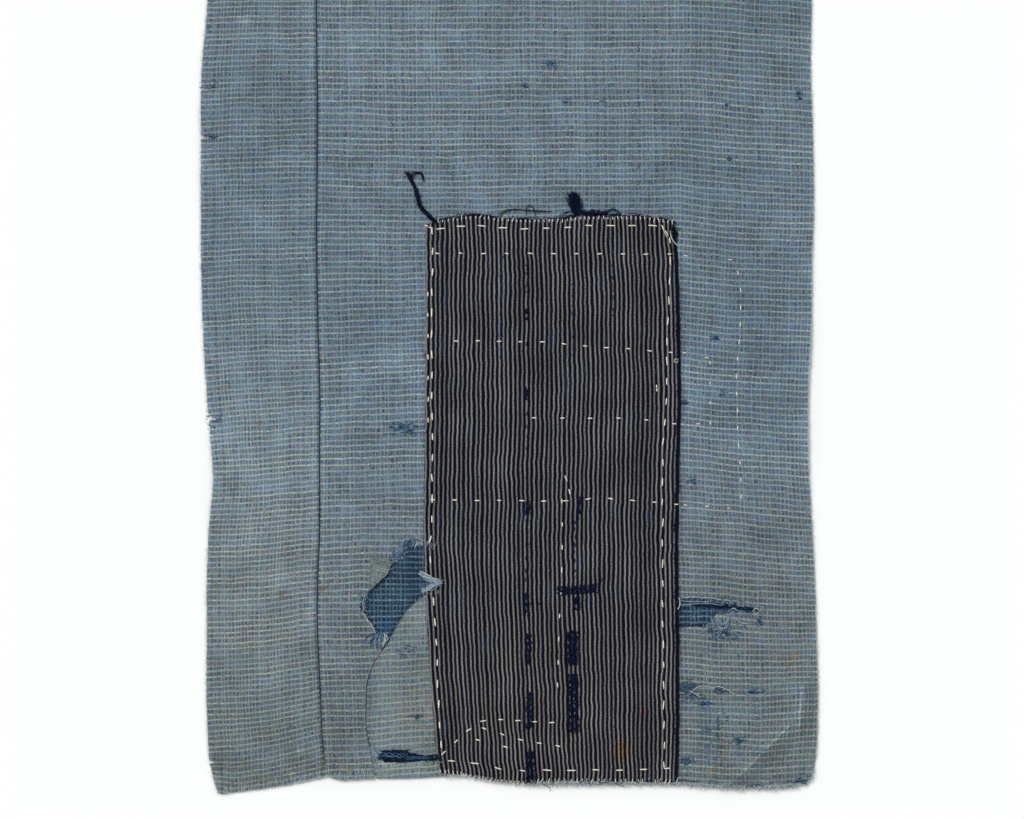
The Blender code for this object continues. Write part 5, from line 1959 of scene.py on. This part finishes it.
class BORO_OT_torn_yarns(bpy.types.Operator):
    """Makes the yarns that hang loose at the tears and nicks, and dark yarns laid as painted shadow in the
    right tear and the low slit
    """

    bl_idname = "boro.torn_yarns"
    bl_label = "Torn yarns"

    def execute(self, context):
        draw = np.random.RandomState(21)
        cream, pale, sky = linear("#b4b9b0"), linear("#93a5ae"), linear("#67849b")
        blue, deep, night = linear("#3a5b7b"), linear("#1b3450"), linear("#101d33")
        strands = []

        near = straying(draw)

        def yarn(points, colour, radius=0.26, lift=0.1, hump=0.0, spread=0.0):
            points = np.asarray(points, float)
            points = points + draw.normal(0.0, spread, points.shape) if spread else points
            strands.append(Strand(laid(points, radius, lift, hump), radius, colour))

        def choose(*colours):
            return colours[draw.randint(len(colours))]

        # Curls and fluff over the top of the left tear
        for _ in range(60):
            start = near((135.6, 163.6), 1.4)
            rise = draw.uniform(-2.2, 1.4)
            yarn(
                [
                    start, (139.4 + rise, 170.4), (142.8 + rise, 174.8), (147.6, 176.4 - abs(rise)),
                    (152.8 + draw.uniform(-2, 0.6), 172.6)
                ][: draw.randint(2, 6)],
                choose(pale, sky, blue, blue, deep), radius=draw.uniform(0.14, 0.26), hump=0.6, spread=0.7
            )
        for shift in (0.0, 0.7, 1.5):
            yarn(
                [
                    (147.6, 168.6 + shift), (149.0, 171.8 + shift), (151.4, 172.6 + shift),
                    (153.6, 170.2 + shift)
                ],
                pale, radius=0.26, hump=0.5, spread=0.2
            )
        yarn(
            [(143.0, 173.2), (146.6, 176.6), (150.8, 176.4), (153.4, 173.0)], cream, radius=0.24, hump=0.5,
            spread=0.2
        )
        for centre, size in (
            ((134.0, 165.2), 2.0), ((136.6, 167.8), 2.2), ((131.2, 162.0), 1.6), ((139.6, 169.6), 2.0),
            ((144.8, 172.2), 2.0), ((138.2, 164.2), 1.8)
        ):
            for _ in range(4):
                yarn(
                    curl(near(centre, 0.5), size * draw.uniform(0.5, 1.0), 0.9, draw.uniform(0, 6)),
                    choose(blue, pale, deep, sky), radius=0.18, spread=0.15
                )

        # Threads that still cross the left tear's rim, and the pale cut edge
        yarn([(113.4, 138.0), (111.8, 132.0), (112.2, 127.6), (109.8, 123.6)], pale, radius=0.3)
        yarn([(114.2, 136.0), (112.6, 130.0), (111.2, 125.4)], sky, radius=0.26)
        for shift in (0.0, 0.5):
            yarn(
                [
                    (112.6 - shift, 124.9), (115.0 - shift, 120.4), (117.7 - shift, 117.2),
                    (120.4 - shift, 111.8)
                ],
                cream, radius=0.3
            )
        for _ in range(16):
            place = near((112.0, 131.8), (1.2, 4.4))
            yarn([place, near(place, 1.0), near(place, 2.0)], choose(blue, deep, sky), radius=0.22)

        # The knot of ends at the foot of the left tear
        for _ in range(26):
            start = near((124.0, 110.4), (2.0, 0.8))
            end = near((120.4, 102.6), (2.8, 1.4))
            yarn([start, near((start + end) / 2, 1.1), end], choose(blue, deep, sky, pale), hump=0.5)
        for _ in range(8):
            start = near((126.8, 110.6), 0.7)
            yarn(
                [start, start + (0.6, -4.0), start + (-1.4, -8.6)], choose(pale, cream), hump=0.5,
                spread=0.5
            )
        for _ in range(8):
            centre = near((124.6, 104.4), 1.6)
            yarn(
                curl(centre, draw.uniform(1.2, 2.2), 0.7, draw.uniform(0, 6)), choose(pale, cream, sky),
                radius=0.22
            )

        # The bundle pulled out over the patch's edge
        for _ in range(24):
            start = near((151.2, 152.6), (0.5, 1.0))
            tip = near((165.4, 147.2), (0.9, 1.1))
            middle = near((156.6, 149.0), (0.8, 1.0))
            yarn(
                [start, middle, tip], choose(pale, sky, cream, pale), radius=0.28,
                lift=draw.uniform(0.2, 0.9), hump=0.5
            )
        for _ in range(20):
            start = near((163.6, 146.4), (1.6, 1.2))
            end = near((152.4, 139.8), (0.8, 1.0))
            middle = near((start + end) / 2, 0.8)
            yarn(
                [start, middle, end], choose(pale, sky, pale), radius=0.26, lift=draw.uniform(0.2, 0.8),
                hump=0.4
            )
        for _ in range(14):
            start = near((152.2, 151.0), (0.6, 1.2))
            end = near((162.6, 143.6), (0.8, 0.8))
            yarn(
                [start, near((start + end) / 2, 0.5), end], choose(sky, blue, pale), radius=0.24,
                lift=draw.uniform(0.1, 0.5), hump=0.3
            )

        for _ in range(34):
            start = np.array([151.6, 0.0]) + (draw.normal(0, 0.5), draw.uniform(141.0, 151.5))
            end = np.array([163.8, 0.0]) + (draw.normal(0, 0.6), 143.6 + (start[1] - 141.0) * 0.4)
            yarn(
                [start, near((start + end) / 2, 0.5), end], choose(sky, blue, pale, deep), radius=0.2,
                lift=draw.uniform(0.1, 0.6), hump=0.4
            )

        # The fringe along the top of the right tear, and what hangs in it
        for _ in range(120):
            across = draw.uniform(329, 380)
            top = np.interp(across, (329, 343, 359, 381), (135.4, 135.2, 132.6, 129.0))
            start = np.array([across, top + draw.uniform(0.0, 1.2)])
            end = start + (
                draw.uniform(-1.6, 1.6), -draw.uniform(2.0, 6.0) * (0.6 if across > 356 else 1.0)
            )
            yarn(
                [start, near((start + end) / 2, 0.5), end], choose(deep, blue, blue, sky), radius=0.24,
                lift=-0.1
            )
        for up, colour in ((135.6, cream), (133.4, pale), (131.6, pale)):
            yarn(
                [(330, up - 0.6), (338, up), (346, up - 0.4), (353, up - 0.5), (360, up - 2.0)], colour,
                radius=0.28, spread=0.35
            )
        for points in (
            [
                (354.6, 121.0), (356.4, 118.2), (358.6, 115.6), (360.9, 114.7), (362.9, 117.5),
                (365.0, 123.0), (368.5, 125.8)
            ],
            [
                (355.6, 122.2), (357.6, 119.4), (359.6, 117.4), (361.6, 118.6), (363.6, 122.4),
                (366.4, 126.4)
            ],
            [(369.4, 122.0), (370.0, 119.8), (372.2, 118.2), (377.1, 117.5), (382.1, 118.2)],
            [(366.0, 124.6), (371.2, 125.2), (375.7, 124.2), (380.0, 123.9)],
            [(364.0, 126.0), (366.6, 127.6), (370.2, 126.8), (373.8, 124.6), (376.4, 125.2)],
            [(382.1, 129.2), (386.0, 129.6), (389.2, 128.1), (388.4, 126.2), (386.0, 125.0)],
            [(352.0, 121.6), (354.0, 117.0), (353.6, 112.6)]
        ):
            for _ in range(6):
                yarn(
                    points, choose(sky, pale, pale, blue), radius=draw.uniform(0.12, 0.24), hump=0.5,
                    spread=0.5
                )
        for _ in range(3):
            yarn(
                curl((382.8, 126.3), draw.uniform(1.9, 2.4), 1.05, draw.uniform(0, 6)), choose(cream, pale),
                radius=0.22, hump=0.3
            )
        yarn(curl((387.0, 127.0), 1.7, 0.9, 1.0), pale, radius=0.28)
        for _ in range(60):
            place = near((358.0, 112.4), (7.0, 2.6))
            yarn(
                [place, near(place, 1.4), near(place, 2.2)], choose(blue, deep, sky, pale), radius=0.24,
                hump=0.3
            )
        for _ in range(18):
            place = near((385.4, 119.6), (1.0, 2.8))
            yarn([place, near(place, 1.4)], choose(blue, deep), radius=0.24)
        yarn([(329.4, 135.6), (330.4, 131.4), (328.8, 127.6)], linear("#d9dcd8"), radius=0.34, lift=0.9)
        # Painted shadow under the tear's upper rim: a strip of dark yarns, which narrows to the right
        for _ in range(90):
            across = draw.uniform(336, 380)
            middle = np.interp(
                across, (336, 352, 366, 381), (131.0, 130.2, 128.6, 127.6)
            ) + draw.normal(0, 0.7)
            far = (across + draw.uniform(3, 8), middle + draw.normal(0, 0.5) - 0.6)
            yarn([(across, middle), far], night, radius=0.3, lift=-0.1)

        # The lower slits on the right
        for points in (
            [(338.5, 70.4), (342.0, 74.2), (348.0, 74.6), (354.0, 73.0)],
            [(352.6, 73.6), (358.0, 74.0), (364.0, 71.6), (368.6, 68.2)],
            [(336.0, 72.0), (340.0, 69.8), (345.0, 67.0)],
            [(374.6, 72.6), (377.6, 69.2), (383.0, 68.4), (389.6, 69.6), (391.0, 72.4)],
            [(347.6, 84.0), (348.6, 79.6), (348.0, 76.0)]
        ):
            yarn(points, choose(cream, pale), radius=0.28, spread=0.2)
        for centre, reach, count in (
            ((335.6, 73.6), (3.0, 2.6), 34), ((359.0, 71.6), (4.4, 0.8), 24),
            ((382.4, 70.8), (4.6, 0.7), 24), ((345.6, 62.8), (3.4, 1.2), 14),
            ((340.4, 66.4), (3.4, 1.8), 16), ((335.0, 23.2), (3.0, 1.6), 12),
            ((369.4, 37.2), (3.0, 1.2), 10), ((413.0, 8.6), (3.0, 1.0), 14), ((381.0, 6.0), (3.6, 0.5), 10),
            ((140.4, 254.6), (7.0, 1.2), 30), ((142.0, 249.6), (6.0, 1.0), 20),
            ((240.8, 503.7), (3.4, 1.2), 22), ((223.6, 488.5), (2.0, 0.9), 10),
            ((251.2, 478.2), (1.2, 1.0), 8), ((277.4, 478.2), (1.0, 0.8), 5),
            ((362.9, 475.4), (1.0, 0.8), 5), ((364.3, 438.2), (1.0, 0.9), 6),
            ((412.4, 482.4), (0.9, 2.2), 12), ((354.3, 314.6), (2.4, 0.9), 12),
            ((359.5, 276.3), (1.3, 1.6), 10), ((333.6, 269.8), (0.9, 1.0), 7),
            ((338.4, 216.0), (1.6, 1.6), 12), ((147.7, 53.8), (4.0, 0.8), 14),
            ((143.0, 99.0), (3.6, 3.0), 16), ((7.5, 259.4), (2.6, 2.2), 18), ((6.0, 453.2), (2.4, 1.2), 12),
            ((7.0, 487.8), (3.0, 0.8), 12)
        ):
            for _ in range(count):
                place = np.array(centre) + draw.normal(0, 1.0, 2) * reach
                far = place + draw.normal(0, 1.0, 2) * (2.0, 0.7)
                yarn(
                    [place, near((place + far) / 2, 0.4), far], choose(deep, blue, deep), radius=0.24,
                    lift=-0.05
                )

        # Twisted ends in the low slit, and its pale corner. Most ends are near-black and laid close, painted
        # shadow that fills the slit, with a few blue ones
        for number in range(110):
            left = draw.rand() < 0.6
            start = np.array([draw.uniform(122, 140) if left else draw.uniform(140, 159), 0.0])
            start[1] = draw.uniform(23.4, 30.6) if left else draw.uniform(23.4, 27.0)
            far = start + (draw.uniform(3, 8), draw.uniform(-1.4, 1.0))
            colour = night if number % 8 else choose(blue, deep, sky)
            yarn(
                [start, near((start + far) / 2, 0.6), far], colour, radius=0.34 if number % 8 else 0.2,
                lift=0.2
            )
        for phase in range(3):
            line = [
                (122.4 + step * 1.9, 27.4 + 1.5 * math.sin(step * 0.9 + phase * 2.1) - step * 0.08)
                for step in range(12)
            ]
            yarn(line, choose(blue, deep), radius=0.3, lift=0.7)
            line = [
                (142.0 + step * 2.0, 25.2 + 0.8 * math.sin(step * 1.1 + phase * 2.1)) for step in range(9)
            ]
            yarn(line, choose(blue, deep), radius=0.26, lift=0.6)
        yarn([(126.0, 27.6), (130.0, 26.0), (134.0, 26.6), (138.0, 24.8)], sky, radius=0.22, lift=1.0)
        for _ in range(12):
            start = near((118.4, 31.2), (1.2, 1.6))
            yarn(
                [start, start + (2.0, -2.6), start + (4.0, -6.6)], choose(sky, pale), radius=0.2, spread=0.4
            )

        made = strands_object("torn_edge_yarns", strands, sides=4)
        finished(made, yarn_material(), "washed_check_cotton")

        # Loose cream and pale ends by the patch
        strands.clear()
        yarn([(318.1, 390.5), (320.0, 386.6), (321.4, 383.6)], cream, radius=0.34, hump=0.4)
        yarn(
            [(323.6, 388.4), (324.2, 384.2), (326.4, 380.4), (329.6, 377.6), (331.0, 378.6)], cream,
            radius=0.34, hump=0.6
        )
        yarn(curl((327.8, 298.8), 1.6, 0.95, 0.4), cream, radius=0.3)
        for up in (514, 503.7, 492.6, 480.9, 476, 464.4, 447.8, 433.3, 421.6):
            yarn(
                [(300.8, up + 1.4), (302.4, up + 0.6), (302.0, up - 1.0), (300.6, up - 1.6)],
                choose(blue, deep), radius=0.22
            )
        made = strands_object("edge_yarns", strands, sides=5)
        finished(made, yarn_material(), "sewing_thread")
        return {"FINISHED"}


class BORO_OT_flap(bpy.types.Operator):
    """Makes the scrap of the torn cloth that is folded back beside the left tear"""

    bl_idname = "boro.flap"
    bl_label = "Turned-back flap"

    def execute(self, context):
        settings = context.scene.boro_check
        outline = [
            (116.4, 161.6), (117.6, 156.0), (116.8, 150.0), (116.0, 145.4), (118.6, 142.6), (121.6, 145.4),
            (125.8, 149.4), (129.0, 152.6), (131.2, 156.6), (131.8, 160.6), (127.0, 162.2), (121.0, 163.8)
        ]
        ring = ragged(spaced(np.array(outline), 1.2, closed=True)[::-1], 0.3, 37)
        crease = [(116.4, 162.4), (121.0, 164.0), (127.0, 162.4), (132.2, 160.6)]

        def height(places):
            near = away_from(crease, places)
            return panel_height(places) + 0.7 + 0.9 * ease(1.0 - near / 2.6) - 0.3 * ease(
                (near - 6.0) / 10.0
            )

        turn = np.sum(ring[:, 0] * np.roll(ring[:, 1], -1) - np.roll(ring[:, 0], -1) * ring[:, 1])
        if turn < 0:
            ring = ring[::-1]
        made, places = sheet_object("turned_flap", [ring], 1.4, height, slanted_weave, 6, thick=0.7)
        near = away_from(crease, places)
        # A painted highlight along the flap's folded top edge and painted shade in a band below it; it is
        # also darker along its left edge and lower tip
        shade = 1.0 + 0.3 * ease(1.0 - near / 1.4) - 0.25 * ease(1.0 - np.abs(near - 3.4) / 2.0)
        shade = shade - 0.3 * ease(1.0 - away_from([(117.6, 158), (116.4, 146), (119, 143)], places) / 1.6)
        painted(made, "Wash", washed(places, (), 76, base=(1.0, 1.0, 1.0)) * shade[:, None])
        painted(made, "Worn", np.zeros(len(places)))
        look = panel_look(
            settings, ground=linear("#7b8684"), shade="#56625f", weft_cream=linear("#3d474c"),
            weft_blue="#2c3842", warp="#6f7674", weft_pitch=1.9, weft_width=0.95, weft_share=0.9,
            warp_share=0.15, tint=0.15, cloud=0.0, seed=19.0
        )
        finished(made, check_cotton("Turned-back check cotton", look), "washed_check_cotton")
        return {"FINISHED"}


class BORO_OT_stage(bpy.types.Operator):
    """Makes the plain floor, the soft light and the camera straight above"""

    bl_idname = "boro.stage"
    bl_label = "Stage"

    def execute(self, context):
        settings = context.scene.boro_stage
        reach = 6.0
        mesh = bpy.data.meshes.new("floor")
        corners = [
            (-reach, -reach, -0.0002), (reach, -reach, -0.0002), (reach, reach, -0.0002),
            (-reach, reach, -0.0002)
        ]
        mesh.from_pydata(corners, [], [(0, 1, 2, 3)])
        floor = linked("floor", mesh)
        material = bpy.data.materials.new("Plain pale floor")
        material.use_nodes = True
        shader = material.node_tree.nodes["Principled BSDF"]
        shader.inputs["Base Color"].default_value = (*settings.floor, 1.0)
        shader.inputs["Roughness"].default_value = 1.0
        shader.inputs["Specular IOR Level"].default_value = 0.0
        mesh.materials.append(material)

        world = bpy.data.worlds.new("Even studio light")
        world.use_nodes = True
        sky = world.node_tree.nodes["Background"]
        sky.inputs["Color"].default_value = (1.0, 1.0, 1.0, 1.0)
        sky.inputs["Strength"].default_value = settings.sky
        context.scene.world = world

        key = bpy.data.lights.new("key light", "SUN")
        key.energy = settings.sun
        key.angle = math.radians(16)
        lamp = bpy.data.objects.new("key light", key)
        context.scene.collection.objects.link(lamp)
        toward = Vector((-0.55, 0.55, 1.0))
        lamp.rotation_euler = toward.to_track_quat("Z", "Y").to_euler()

        eye = bpy.data.cameras.new("camera")
        eye.lens = 100.0
        eye.sensor_width = 36.0
        camera = bpy.data.objects.new("camera", eye)
        context.scene.collection.objects.link(camera)
        centre = placed([(214.6, 265.3)], [0.0])[0]
        camera.location = (centre[0], centre[1], settings.view_width * eye.lens / eye.sensor_width)
        eye.clip_end = 50.0
        context.scene.camera = camera
        context.scene.view_settings.view_transform = "Standard"
        return {"FINISHED"}


class BORO_PT_panel(bpy.types.Panel):
    """Sizes, colours and steps of the cloth"""

    bl_idname = "BORO_PT_panel"
    bl_label = "Boro cloth"
    bl_space_type = "VIEW_3D"
    bl_region_type = "UI"
    bl_category = "Boro cloth"

    def draw(self, context):
        scene = context.scene
        for settings in (scene.boro_check, scene.boro_patch, scene.boro_threads, scene.boro_stage):
            box = self.layout.box()
            for name in settings.bl_rna.properties.keys():
                if name not in ("rna_type", "name"):
                    box.prop(settings, name)
        for step in STEPS:
            self.layout.operator(step.bl_idname)


SETTINGS = {
    "boro_check": BoroCheckSettings, "boro_patch": BoroPatchSettings, "boro_threads": BoroThreadSettings,
    "boro_stage": BoroStageSettings
}
# In the order in which they are made
STEPS = (
    BORO_OT_stage, BORO_OT_stitches, BORO_OT_fringes, BORO_OT_darns, BORO_OT_tufts, BORO_OT_torn_yarns,
    BORO_OT_flap, BORO_OT_indigo_backing, BORO_OT_pale_repair, BORO_OT_side_panel, BORO_OT_main_panel,
    BORO_OT_striped_patch
)


def register():
    for group in (*SETTINGS.values(), *STEPS, BORO_PT_panel):
        bpy.utils.register_class(group)
    for name, group in SETTINGS.items():
        setattr(bpy.types.Scene, name, bpy.props.PointerProperty(type=group))


def unregister():
    for name in SETTINGS:
        delattr(bpy.types.Scene, name)
    for group in (BORO_PT_panel, *STEPS[::-1], *list(SETTINGS.values())[::-1]):
        bpy.utils.unregister_class(group)


def main():
    register()
    for step in STEPS:
        family, name = step.bl_idname.split(".")
        getattr(getattr(bpy.ops, family), name)()


if __name__ == "__main__":
    main()
